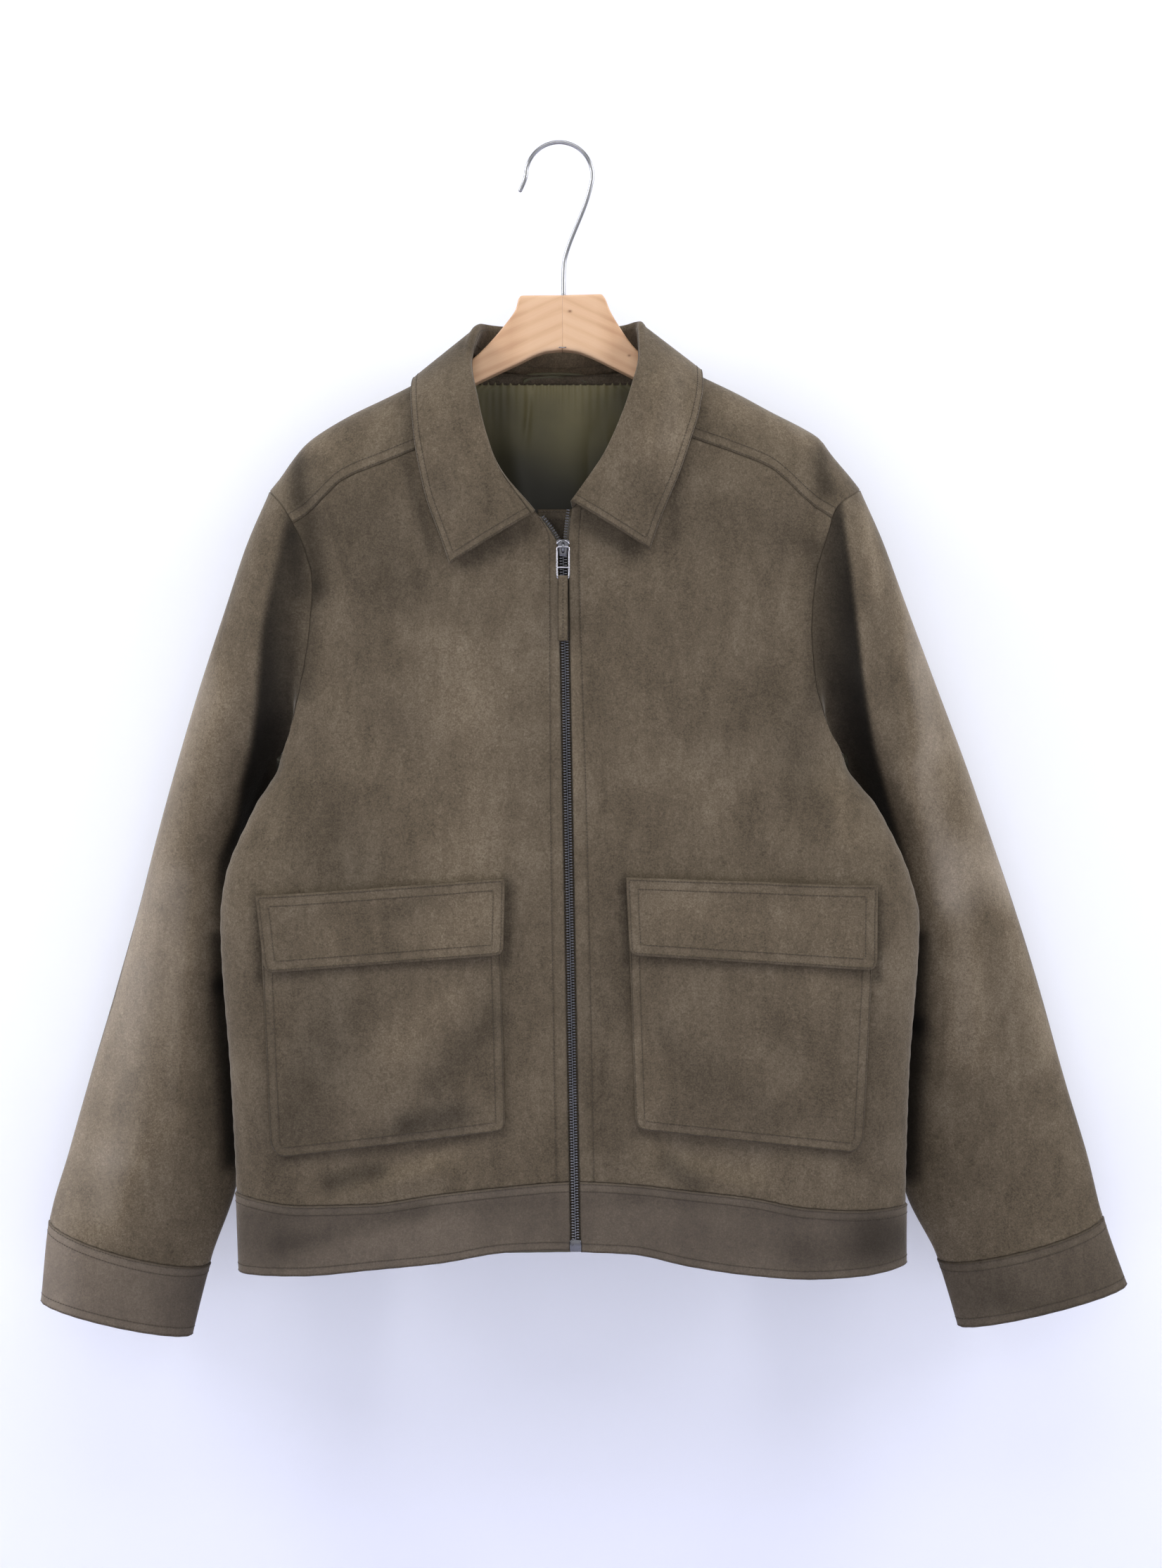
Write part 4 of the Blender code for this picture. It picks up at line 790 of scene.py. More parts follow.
def metal(name, colour, roughness, scratch=0.08, scale=260.0, rim=1.0):
    # cloudy roughness and a little tone, as handled plating has; rim darkens glancing edges
    finish = Finish(name, Metallic=1.0, Specular_Tint=(rim, rim, rim, 1.0))
    where = finish.place(scale=(1, 1, 0.3))
    wear = finish.noise(where, scale, 3.0, 0.6)
    shade = finish.between(wear, shaded(colour, 0.75), shaded(colour, 1.2))
    return finish.paint(Base_Color=shade, Roughness=roughness + (wear - 0.5) * scratch,
                        Normal=finish.bump((wear - 0.5) * 0.03, 0.4))


# knots are x, z and radius; joint is the glued line's half width
woodLook = dict(
    pale=(0.74, 0.505, 0.325), middle=(0.655, 0.41, 0.245), dark=(0.47, 0.255, 0.135),
    knot=(0.22, 0.10, 0.045), seamX=0.0026, joint=0.00028, slope=math.radians(24),
    knots=[(0.0084, -0.132, 0.0016), (0.0546, -0.1665, 0.0014)])


def wood(name):
    # grain runs down each arm, so it meets in a V at the middle joint: wavy bands across the
    # slope, a slow bow, fine pores, and a darker tone out along the arm
    look = woodLook
    finish = Finish(name, Specular_IOR_Level=0.45, Coat_Weight=0.25, Coat_Roughness=0.25)
    where = finish.add("ShaderNodeTexCoord", out="Object")
    parts = finish.add("ShaderNodeSeparateXYZ", None, {"Vector": where})
    x, y, z = (Wire(finish, parts.socket.node.outputs[letter]) for letter in "XYZ")
    out = abs(x - look["seamX"])
    side = (x - look["seamX"]).maths("SIGN", x - look["seamX"])
    along = out * math.cos(look["slope"]) - z * math.sin(look["slope"])
    across = out * math.sin(look["slope"]) + z * math.cos(look["slope"])
    lie = finish.add("ShaderNodeCombineXYZ", None,
                     {"X": along * 0.12, "Y": across, "Z": side * 0.08 + y * 0.35})
    bow = finish.noise(lie, 30.0, 2.0)
    rings = finish.add("ShaderNodeTexWave", dict(wave_type="BANDS", bands_direction="Y"),
                       {"Vector": lie, "Scale": 33.0, "Distortion": 4.0, "Detail": 3.0,
                        "Detail Scale": 1.4})
    pores = finish.noise(finish.add("ShaderNodeCombineXYZ", None,
                                    {"X": along * 0.05, "Y": across, "Z": y + side}), 1100.0)
    arm = ((out - 0.026) * 22.0).highest(0.0).lowest(0.30)
    tone = (rings ** 2.0) * 0.22 + bow * 0.90 + (pores - 0.5) * 0.24 - 0.08 + arm
    colour = finish.ramp(tone, [(0.0, look["pale"]), (0.5, look["middle"]), (1.0, look["dark"])])
    colour = finish.between(out.bell(0.0, look["joint"]) * 0.55, colour, look["dark"])
    for knotX, knotZ, radius in look["knots"]:
        spot = (((x - knotX) / radius) ** 2.0 + ((z - knotZ) / (radius * 0.7)) ** 2.0) ** 0.5
        colour = finish.between(spot.bell(0.0, 0.9), colour, look["knot"])
    return finish.paint(Base_Color=colour, Roughness=0.42 + (pores - 0.5) * 0.16,
                        Normal=finish.bump((pores - 0.5) * 0.05 + rings * 0.03, 0.4))


# one satin in two copies: the lining's, at 2.0 against 0.8 for the panels' insides, is brightened
# as painted light
satinInside = satin("satin_inside", 0.8)
satinLiningPaintedLight = satin("satin_lining_painted_light", 2.0)
threadDark = threadFinish("thread_olive", (0.045, 0.034, 0.023))
tapeCloth = wovenTape("zip_tape_weave")
gunmetal = metal("gunmetal", (0.15, 0.15, 0.165), 0.28)
# a paler copy of the gunmetal, a painted highlight on the slider's wings and the pull's frame
gunmetalPaintedHighlight = metal("gunmetal_painted_highlight", (0.46, 0.45, 0.49), 0.24)
chrome = metal("hook_chrome", (0.37, 0.37, 0.385), 0.25, 0.05, 90.0, 0.3)
hangerWood = wood("hanger_wood")
# each panel's own place in the nap's pattern, and how much greyer its nap is
napPlace = dict(
    front_left=1.7, front_right=4.1, back=7.3, yoke=9.2, pocket_left=11.9, pocket_right=13.4,
    flap_left=15.8, flap_right=17.5, waistband=19.1, sleeve_left=21.6, sleeve_right=23.3,
    cuff_left=25.2, cuff_right=27.7, collar=29.4, trim=31.3)
coolness = dict(waistband=0.35, cuff_left=0.35, cuff_right=0.2)
panelSuede = {name: suede("suede_" + name, place, coolness.get(name, 0.0))
              for name, place in napPlace.items()}
print("scene: materials ready")


topLine = {
    # from the zip up the neck seam, then out along the yoke seam to the armhole
    left: dict(x=[-18.5, -31, -45, -57, -66, -88, -109.4, -135.9, -157.4, -168.2, -176.1, -184.9,
                  -195, -204.5],
               z=[-292, -277, -262, -245, -226, -235.5, -244.2, -255, -263.3, -269.2, -276.6,
                  -285.4, -294, -300]),
    right: dict(x=[11, 27, 41, 53, 62, 82, 101.3, 136.6, 162, 171.8, 187.5, 199, 210.6],
                z=[-290, -274, -257, -239.5, -221, -228.5, -235, -247.2, -257.5, -264.8, -279.5,
                   -288.5, -296])}
# yokeSeam is the point of the top line at the neck; row is the stitched row beside the zip
panelLook = dict(thick=1.8, step=3.4, backStep=4.2, yokeSeam={left: 4, right: 4},
                 row={left: (10.0,), right: (11.0,)})


def alongLine(x, z, share):
    # a place at each share of a line's length, on cubics through its points
    way = np.concatenate([[0], np.cumsum(np.hypot(np.diff(x), np.diff(z)))])
    return stacked(through(way, x, share * way[-1]), through(way, z, share * way[-1]))


def pucker(way, along, size, wave, seed):
    # small gathers that fade away from a seam: a sine along it, its phase wandering slowly
    return (size * np.exp(-way / 5.0) * np.sin(along * 2 * math.pi / wave + seed
                                               + 1.7 * np.sin(along / 37.0 + seed)))


def sideFootZ(side):
    # where the hem's seam meets the side fold
    return float(hemZ("seam", edgeX(side, hem["sideZ"])))


def frontPatch(side):
    # a patch between the hem, the top line, the zip's edge and the side fold, as x and z
    line = topLine[side]
    u = places(240, panelLook["step"], "edge", "fold")
    v = places(515, panelLook["step"])
    zipLow = float(hemZ("seam", zipX(hem["zipZ"])))
    sideLow = sideFootZ(side)
    nearZ, farZ = mixed(zipLow, line["z"][0], v), mixed(sideLow, line["z"][-1], v)
    near = stacked(zipEdgeX(side, nearZ), nearZ)
    far = stacked(edgeX(side, farZ), farZ)
    lowX = mixed(near[0, 0], far[0, 0], u)
    low = stacked(lowX, hemZ("seam", lowX))
    high = alongLine(line["x"], line["z"], u)
    return coons(low, high, near, far, u, v)


for side, tag in sides:
    flat = frontPatch(side)
    sheet, normal = laid(front, flat[..., 0], flat[..., 1])
    ways = edgeWays(sheet, False)
    ripple = (pucker(ways["firstRow"], flat[..., 0], 0.5, 11.0, 0.4)
              + pucker(ways["lastRow"], flat[..., 0], 0.3, 13.0, 2.4)
              + pucker(ways["firstColumn"], flat[..., 1], 0.25, 17.0, 1.1)
              + pucker(ways["lastColumn"], flat[..., 1], 0.35, 15.0, 1.9))
    name = "front_" + tag
    cloth("shell_" + name, raised(sheet, normal, ripple), normal, panelLook["thick"],
          [panelSuede[name], satinInside], "suede", [name], stitched=["firstColumn"],
          rows=panelLook["row"][side], hangsFrom=["shell_yoke", "shell_back"])
    sewn("shell_" + name, threadDark)
print("scene: fronts")


def edgeHeights(side, v):
    return mixed(sideFootZ(side), topLine[side]["z"][-1], v)


def backPatch():
    # straight lines across from one side fold to the other, laid on the back face
    u = places(500, panelLook["backStep"], "fold", "fold")
    v = places(520, panelLook["backStep"])
    leftZ, rightZ = edgeHeights(left, v)[:, None], edgeHeights(right, v)[:, None]
    x = mixed(edgeX(left, leftZ), edgeX(right, rightZ), u)
    return laid(back, x, mixed(leftZ, rightZ, u))


sheet, normal = backPatch()
ways = edgeWays(sheet, False)
gathers = (pucker(ways["firstRow"], sheet[..., 0], 0.5, 12.0, 0.9)
           + pucker(ways["lastRow"], sheet[..., 0], 0.3, 14.0, 0.2))
cloth("shell_back", raised(sheet, normal, gathers), normal, panelLook["thick"],
      [panelSuede["back"], satinInside], "suede", ["back"], hangsFrom=["shell_yoke"])
print("scene: back")


# the collar's lines by place along it, from the left end round the back to the right end; the
# yoke's neck edge follows them too
collarForm = dict(
    neckX=[-18.5, -45, -66, -71, -70, -62, -45, 0, 45, 62, 69, 70, 62, 41, 11],
    neckZ=[-292, -262, -226, -190, -164.5, -169, -177, -181, -177, -169, -162.5, -188, -221,
           -257, -290],
    foldX=[-21.5, -51, -61.5, -68, -62, -57, -44, 0, 44, 55, 61, 61.5, 54, 37, 10],
    foldY=[-51, -50, -46, -26, 0, 15, 25, 36, 25, 15, 0, -26, -46, -50, -51],
    foldZ=[-295.5, -252, -207, -172, -144, -140, -139, -138, -139, -139, -141, -166, -199, -244,
           -285],
    leafX=[-83.3, -103, -110.5, -113, -111, -104, -80, 0, 80, 102, 109, 110, 107, 95, 69.6],
    leafZ=[-333, -275, -233, -200, -187, -190, -201, -208, -201, -188, -181.5, -195, -215, -255,
           -322],
    shoulder={left: 4, right: 10}, corner={left: 6, right: 8}, middle=7,
    leafLift=2.2, leafOut=2.0, bulge=5.0)
sections = np.arange(15)
# the stations before the left shoulder and after the right one lie on the front face
faceSign = np.where((sections < collarForm["shoulder"][left])
                    | (sections > collarForm["shoulder"][right]), front, back)
faceSign[list(collarForm["shoulder"].values())] = 0.0


def collarLine(key, at):
    return through(sections, collarForm[key], at)


def onBody(xKey, zKey, at):
    # height is the shoulder line less a square that passes through 0 as the face turns
    x = np.asarray(collarForm[xKey], float)
    root = faceSign * np.sqrt(np.clip(shoulderZ(x) - np.asarray(collarForm[zKey], float), 0, None))
    turn = through(sections, root, at)
    x = collarLine(xKey, at)
    face = np.where(turn < 0, front, back)
    return face, x, shoulderZ(x) - turn ** 2


def neckPoint(at):
    return onBody("neckX", "neckZ", at)[1:]


def yokePatch():
    # a horseshoe of rays from the neck to the outer seams: over each shoulder the depth under
    # the shoulder line is blended from ray to ray, and round the back neck the rays are straight
    w = places(135, panelLook["step"])
    rays = {}
    leftZ, rightZ = topLine[left]["z"][-1], topLine[right]["z"][-1]
    middleZ = (leftZ + rightZ) / 2
    for side in (left, right):
        line = topLine[side]
        first = panelLook["yokeSeam"][side]
        seam = alongLine(line["x"][first:], line["z"][first:], w)
        tipX, tipZ, edgeZ = armhole[side]["x"][-1], armhole[side]["z"][-1], line["z"][-1]
        cornerX, cornerZ = neckPoint(collarForm["corner"][side])
        backSeam = stacked(mixed(cornerX, edgeX(side, edgeZ), w), mixed(cornerZ, edgeZ, w))
        # closer rays beside the front seam, where the sheet's edge curls
        turns = np.sort(np.append(np.linspace(-1, 1, 91), [-0.997, -0.992, -0.985, -0.975]))
        part = []
        for value in turns:
            ray = seam if value < 0 else backSeam
            depth = shoulderZ(ray[:, 0]) - ray[:, 1]
            outerZ = tipZ + (edgeZ - tipZ) * value ** 2
            outerX = float(edgeX(side, outerZ)) if value else tipX
            at = collarForm["shoulder"][side] - side * 2 * value
            innerX, innerZ = neckPoint(at)
            # straight across in x at the ridge, along the seam at the seam
            x = mixed(mixed(innerX, outerX, w), ray[:, 0] + (innerX - ray[0, 0]) * (1 - w)
                      + (outerX - ray[-1, 0]) * w, value ** 2)
            inner = (shoulderZ(innerX) - innerZ) / depth[0]
            outer = (shoulderZ(outerX) - outerZ) / depth[-1]
            z = shoulderZ(x) - depth * np.clip(mixed(inner, outer, w), 0, None)
            part.append((front if value < 0 else back, x, z))
        sweep = []
        for f in places(200, 4.0, "plain", "plain")[1:-1]:
            at = mixed(collarForm["corner"][side], collarForm["middle"], f)
            innerX, innerZ = neckPoint(at)
            sweep.append((back, mixed(innerX, edgeX(side, edgeZ) * (1 - f), w),
                          mixed(innerZ, mixed(edgeZ, middleZ, f), w)))
        rays[side] = part + sweep
    neckZ = neckPoint(collarForm["middle"])[1]
    middle = [(back, 0 * w, mixed(neckZ, middleZ, w))]
    return rays[left] + middle + rays[right][::-1]


rays = yokePatch()
faces = np.array([ray[0] for ray in rays])[:, None]
sheet, normal = laid(faces, np.stack([ray[1] for ray in rays]), np.stack([ray[2] for ray in rays]))
cloth("shell_yoke", sheet, normal, panelLook["thick"] + 0.5, [panelSuede["yoke"], satinInside],
      "suede", ["yoke"], stitched=["firstRow", "lastRow"], rows=(1.6, 8.4), lift=0.3,
      hangsFrom=["hanger_board_left", "hanger_board_right"])
sewn("shell_yoke", threadDark)
print("scene: yoke")


# the waistband runs from the left front edge round the back to the right one, thicker than the
# panels as its cloth is folded double
bandLook = dict(thick=3.2, lift=0.9, rows=(1.5, 7.0))


def bandPatch():
    # between the hem's seam and low lines, leaning with the zip in front and the folds at the
    # sides, more of one than the other by how far from the zip it is
    halves = {}
    zipFoot = hemZ("seam", zipX(hem["zipZ"]))
    for side in (left, right):
        u = places(240, 4.0, "edge", "fold")
        x = mixed(float(zipEdgeX(side, zipFoot)), float(edgeX(side, hem["sideZ"])), u)
        halves[side] = (x, hemZ("seam", x), hemZ("low", x))
    share = places(500, 4.4, "fold", "fold")[1:-1]
    ends = [mixed(halves[left][k][-1], halves[right][k][-1], share) for k in range(3)]
    parts = [(front, *halves[left]), (back, *ends), (front, *[v[::-1] for v in halves[right]])]
    face = np.concatenate([np.full(len(part[1]), part[0]) for part in parts])
    x, top, low = [np.concatenate([part[k] for part in parts]) for k in (1, 2, 3)]
    z = mixed(top, low, places(56, panelLook["step"])[:, None])
    leftTop, rightTop = halves[left][0][-1], halves[right][0][-1]
    isLeft = x < zipX(top)
    fromZip = np.where(isLeft, (zipX(top) - x) / (zipX(top) - leftTop),
                       (x - zipX(top)) / (rightTop - zipX(top)))
    lean = zipX(z) - zipX(top)
    sideLean = np.where(isLeft, edgeX(left, z) - edgeX(left, top),
                        edgeX(right, z) - edgeX(right, top))
    across = x + mixed(lean, sideLean, fromZip)
    return x, *laid(face[None, :], across, z)


bandX, sheet, normal = bandPatch()
ways = edgeWays(sheet, False)
along = np.broadcast_to(bandX, sheet.shape[:2])
gathers = (pucker(ways["firstRow"], along, 0.45, 10.0, 0.3)
           + pucker(ways["lastRow"], along, 0.3, 16.0, 1.3))
cloth("shell_waistband", raised(sheet, normal, gathers), normal, bandLook["thick"],
      [panelSuede["waistband"], satinInside], "suede_band", ["waistband"],
      stitched=["firstRow", "lastRow"], rows=bandLook["rows"], lift=bandLook["lift"],
      hangsFrom=["shell_front_left", "shell_front_right", "shell_back"])
sewn("shell_waistband", threadDark)
print("scene: waistband")


# sleeves and cuffs are tubes through tilted oval rings: each ring's outer and inner end, how
# far back its inner end lies, its middle, its half depth and the dip of its front
sleeveForm = {
    left: dict(
        outerX=[-226, -243, -262.5, -284, -303.5, -319.5, -334, -351, -371, -387, -400.5, -406],
        outerZ=[-272, -310, -365, -427, -490, -545, -600, -660, -730, -790, -843, -907],
        innerX=[-217, -216, -217, -224, -234, -242, -247, -248, -249, -254, -274.7, -289],
        innerZ=[-480, -486, -502, -527, -556, -592, -634, -687, -755, -812, -876, -933],
        dip=[0, 0, 0, 0, 0, 0, 0, 0, 0, 3, 9, 3]),
    right: dict(
        outerX=[235, 251.5, 271, 296, 322, 342.5, 361.5, 381.5, 400, 417.5, 427, 445],
        outerZ=[-271, -307, -357, -421, -488, -545, -600, -665, -734, -796, -840, -894],
        innerX=[222, 221, 222, 231, 245, 254, 260, 262, 265, 272, 297.7, 314],
        innerZ=[-480, -486, -502, -527, -557, -595, -640, -695, -762, -818, -873, -926],
        dip=[0, 0, 0, 0, 0, 0, 0, 0, 0, 3, 8, 3])}
sleeveBoth = dict(
    innerBack=[0, 8, 17, 20, 18, 14, 10, 6, 3, 0, 0, 0],
    middleY=[0, 2, 9, 17, 23, 29, 32, 32, 27, 20, 12, 8],
    halfDepth=[36, 41, 44, 44, 43, 42, 40, 37, 33, 28, 22, 20])
# folds of the sleeves: turn round the sleeve and place along it of both ends, the half width
# round and the depth in millimetres (positive swells out)
sleeveFolds = {
    left: [(2.35, 0.3, 2.45, 4.6, 0.42, -9.0), (1.15, 0.4, 1.2, 3.2, 0.30, 1.8),
           (1.5, 5.0, 1.2, 7.5, 0.28, -1.5), (4.4, 3.0, 4.9, 5.2, 0.3, -3.0)],
    right: [(1.62, 0.1, 1.78, 4.2, 0.18, 3.0), (2.30, 0.2, 2.45, 4.4, 0.40, -9.0),
            (1.0, 0.3, 1.1, 3.0, 0.3, -1.2), (1.4, 5.0, 1.1, 7.6, 0.28, -1.4),
            (4.4, 3.0, 4.9, 5.2, 0.3, -3.0)]}
sleeveLook = dict(thick=1.8, cuffThick=3.2, cuffLift=0.9, around=120, step=4.2)


def armholeLoop(side, around):
    # down the front and up the back of the armhole, its height by the cosine of the turn
    turn = np.mod(around, 2 * math.pi)
    low, top = armhole[side]["z"][0], armhole[side]["z"][-1]
    z = top + (low - top) * (1 - np.cos(turn)) / 2
    return bodyAt(np.where(turn <= math.pi, front, back),
                  through(armhole[side]["z"], armhole[side]["x"], z), z)


def sleeveAt(side, around, along):
    # each ring is an ellipse between its outer and inner ends; the first eases to the armhole
    table = {**sleeveForm[side], **sleeveBoth}
    value = {key: through(np.arange(12), table[key], along) for key in table}
    first = {key: table[key][0] for key in table}
    reach, swing = np.cos(around), np.sin(around)

    def oval(v, backward, dip):
        return stacked((v["outerX"] + v["innerX"]) / 2 + (v["outerX"] - v["innerX"]) / 2 * reach,
                       v["middleY"] + backward * (1 - reach) / 2 - v["halfDepth"] * swing,
                       (v["outerZ"] + v["innerZ"]) / 2 + (v["outerZ"] - v["innerZ"]) / 2 * reach
                       - dip * np.clip(swing, 0, 1))
    shape = oval(value, value["innerBack"], value["dip"])
    start = oval(first, 0.0, 0.0)
    fade = np.clip(1 - np.asarray(along) / 4.0, 0, 1)[..., None] ** 2
    return shape + (armholeLoop(side, around) - start) * fade


def sleeveNormals(side, around, along):
    # square to the differences over a short step each way
    step = 0.02
    ahead = sleeveAt(side, around + step, along) - sleeveAt(side, around - step, along)
    above = sleeveAt(side, around, np.maximum(along - step, 0))
    down = sleeveAt(side, around, along + step) - above
    return unit(np.cross(ahead, down) * side)


def sleeveRelief(side, around, along):
    # each fold is a bell round the sleeve that fades in and out along it
    total = np.zeros(around.shape)
    for turn0, along0, turn1, along1, width, depth in sleeveFolds[side]:
        t = (along - along0) / (along1 - along0)
        turn = around - mixed(turn0, turn1, np.clip(t, 0, 1))
        ends = fadeIn(t, -0.25, 0.15) * (1 - fadeIn(t, 0.7, 1.3))
        total = total + depth * np.exp(-(turn / width) ** 2) * ends
    return total * fadeIn(along, 0.0, 0.7)


for side, tag in sides:
    turns = turnsRound(sleeveLook["around"])
    for kind, low, high, length in (("sleeve", 0, 10, 590), ("cuff", 10, 11, 62)):
        around, along = np.meshgrid(turns, low + (high - low) * places(length, sleeveLook["step"]))
        sheet = sleeveAt(side, around, along)
        normal = sleeveNormals(side, around, along)
        name = "shell_%s_%s" % (kind, tag)
        if kind == "sleeve":
            sheet = raised(sheet, normal, sleeveRelief(side, around, along))
            way = edgeWays(sheet, True)
            gather = (pucker(way["firstRow"], around * 60, 0.35, 14.0, 0.2)
                      + pucker(way["lastRow"], around * 55, 0.5, 12.0, 0.7))
            cloth(name, raised(sheet, normal, gather), normal, sleeveLook["thick"],
                  [panelSuede["sleeve_" + tag], satinInside], "suede", ["sleeve_" + tag],
                  closed=True, hangsFrom=["shell_front_" + tag, "shell_back", "shell_yoke"])
        else:
            way = edgeWays(sheet, True)
            gather = (pucker(way["firstRow"], around * 55, 0.4, 11.0, 0.9)
                      + pucker(way["lastRow"], around * 55, 0.3, 15.0, 0.1))
            cloth(name, raised(sheet, normal, gather), normal, sleeveLook["cuffThick"],
                  [panelSuede["cuff_" + tag], satinInside], "suede_band", ["cuff_" + tag],
                  stitched=["firstRow", "lastRow"], rows=(1.5, 7.5), closed=True,
                  lift=sleeveLook["cuffLift"], hangsFrom=["shell_sleeve_" + tag])
            sewn(name, threadDark)
print("scene: sleeves and cuffs")


def collarPatch():
    # the neck and leaf lines are laid on the body, and the fold line stands free
    tip = places(75, 3.0, "edge", "plain")
    at = np.concatenate([tip[:-1], 1 + np.linspace(0, 12, 190)[:-1], 14 - tip[::-1]])
    neck = bodyAt(*onBody("neckX", "neckZ", at))
    fold = stacked(*[collarLine(key, at) for key in ("foldX", "foldY", "foldZ")])
    leaf, out = laid(*onBody("leafX", "leafZ", at))
    return at, neck, fold, leaf + out * collarForm["leafLift"]


collarCentre = np.array([0.0, 0.0, -200.0])


# the stand begins at foot, a share of the way from neck to fold, and takes up share of that way
collarStand = dict(foot=0.05, share=0.86, inwards=0.4)
# start is where the roll joins the leaf; inside, deeper and lean are shares of the ways to the
# neck and the leaf; the roll grows over fromLeft and fades over toRight, places along the collar
collarRoll = dict(start=0.10, inside=0.02, deeper=0.18, inwards=1.2, rise=7.0, lean=0.12,
                  fromLeft=(-0.2, 1.6), toRight=(12.4, 14.2))


def collarSheets():
    # the stand is straight lines from neck to fold; the leaf falls straight from fold to its
    # edge, pushed out by a bulge, and begins with a roll, a quadratic curve over the fold line
    at, neck, fold, leaf = collarPatch()
    rise = places(40, 3.0)[:, None, None] * collarStand["share"] + collarStand["foot"]
    stand = mixed(neck, fold, rise)
    inward = sheetNormals(stand, collarCentre - stand)
    stand = stand + inward * collarStand["inwards"]
    fall = places(85, 3.0, "plain", "edge")[:, None, None]
    sheet = mixed(fold, leaf, fall)
    out = sheetNormals(sheet, sheet - collarCentre)
    # flat over the shoulders, where both faces meet
    shoulders = collarForm["shoulder"]
    away = np.minimum(abs(at - shoulders[left]), abs(at - shoulders[right]))
    swell = np.clip(away / 2, 0, 1)[None, :, None]
    bulge = collarForm["bulge"] * swell * (4 * fall * (1 - fall)) ** 0.7
    sheet = sheet + out * (bulge + collarForm["leafOut"])
    look = collarRoll
    start = int(np.searchsorted(fall[:, 0, 0], look["start"]))
    whole = (fadeIn(at, *look["fromLeft"]) * (1 - fadeIn(at, *look["toRight"])))[:, None]
    inside = (mixed(fold, neck, look["inside"] + look["deeper"] * whole)
              + inward[-1] * look["inwards"])
    low = sheet[start]
    top = fold + np.array([0.0, 0.0, look["rise"]]) * whole + (low - inside) * look["lean"]
    t = np.linspace(0, 1, 15)[:-1, None, None]
    roll = inside * (1 - t) ** 2 + top * 2 * t * (1 - t) + low * t * t
    return stand, inward, np.concatenate([roll, sheet[start:]])


stand, inward, leafSheet = collarSheets()
cloth("shell_collar_stand", stand, inward, 2.0, [panelSuede["collar"], panelSuede["collar"]],
      "suede", ["collar_stand"], stitched=["firstRow"], lift=1.6, hangsFrom=["shell_yoke"])
leafNormal = sheetNormals(leafSheet)
falling = (-12, 60)  # a point low on the leaf, where out is away from the centre
if np.dot(leafNormal[falling], leafSheet[falling] - collarCentre) < 0:
    leafNormal = -leafNormal
cloth("shell_collar_leaf", leafSheet, leafNormal, 2.6, [panelSuede["collar"], panelSuede["trim"]],
      "suede_band", ["collar_leaf"], stitched=["firstColumn", "lastRow", "lastColumn"],
      rows=(1.5, 6.0), lift=0.6, hangsFrom=["shell_collar_stand"], marks="collar")
sewn("shell_collar_leaf", threadDark)
print("scene: collar")


# pockets and flaps are cut as flat shapes and laid on the fronts; their corners, as x and z, are
# top inner, top outer, low outer and low inner
patchCorners = {
    ("pocket", left): [(-44.5, -603), (-226.4, -612), (-218.7, -785.6), (-40.2, -764.6)],
    ("pocket", right): [(53.0, -603), (240.0, -610), (231.5, -781.8), (58.4, -763.3)],
    ("flap", left): [(-40.5, -572.2), (-229.7, -585.8), (-222.9, -644.3), (-42.0, -630.7)],
    ("flap", right): [(51.1, -571.2), (242.2, -578.0), (241.3, -642.4), (54.0, -630.7)]}
# low is the gap under a patch; inner and outer are the radii of its lower corners; swell and
# tilt are how far it stands off
patchLook = dict(
    step=2.8,
    pocket=dict(low=0.3, thick=2.0, rows=(1.1, 7.4), inner=8.0, outer=13.0, swell=1.6),
    flap=dict(low=3.0, thick=2.6, rows=(2.2, 8.8), inner=6.5, outer=7.5, swell=1.8, tilt=0.5))


def patchPoints(kind, side):
    # a rectangle with its two lower corners rounded, stretched to its four corners
    corners = np.array(patchCorners[kind, side], float)
    width = np.linalg.norm(corners[1] - corners[0])
    height = np.linalg.norm(corners[3] - corners[0])
    look = patchLook[kind]
    p, q = np.meshgrid(places(width, patchLook["step"]) * width,
                       places(height, patchLook["step"]) * height)
    for radius, mirrored in ((look["inner"], False), (look["outer"], True)):
        # points of the corner's square are drawn in to its quarter circle
        aside = width - p if mirrored else p
        a, b = np.clip(radius - aside, 0, None), np.clip(radius - (height - q), 0, None)
        both = (a > 0) & (b > 0)
        shrink = np.where(both, np.maximum(a, b) / np.maximum(np.hypot(a, b), 1e-9), 1.0)
        drawn = np.where(both, radius - a * shrink, aside)
        p = width - drawn if mirrored else drawn
        q = np.where(both, height - (radius - b * shrink), q)
    u, v = (p / width)[..., None], (q / height)[..., None]
    flat = mixed(mixed(corners[0], corners[1], u), mixed(corners[3], corners[2], u), v)
    return flat, p, q, width, height


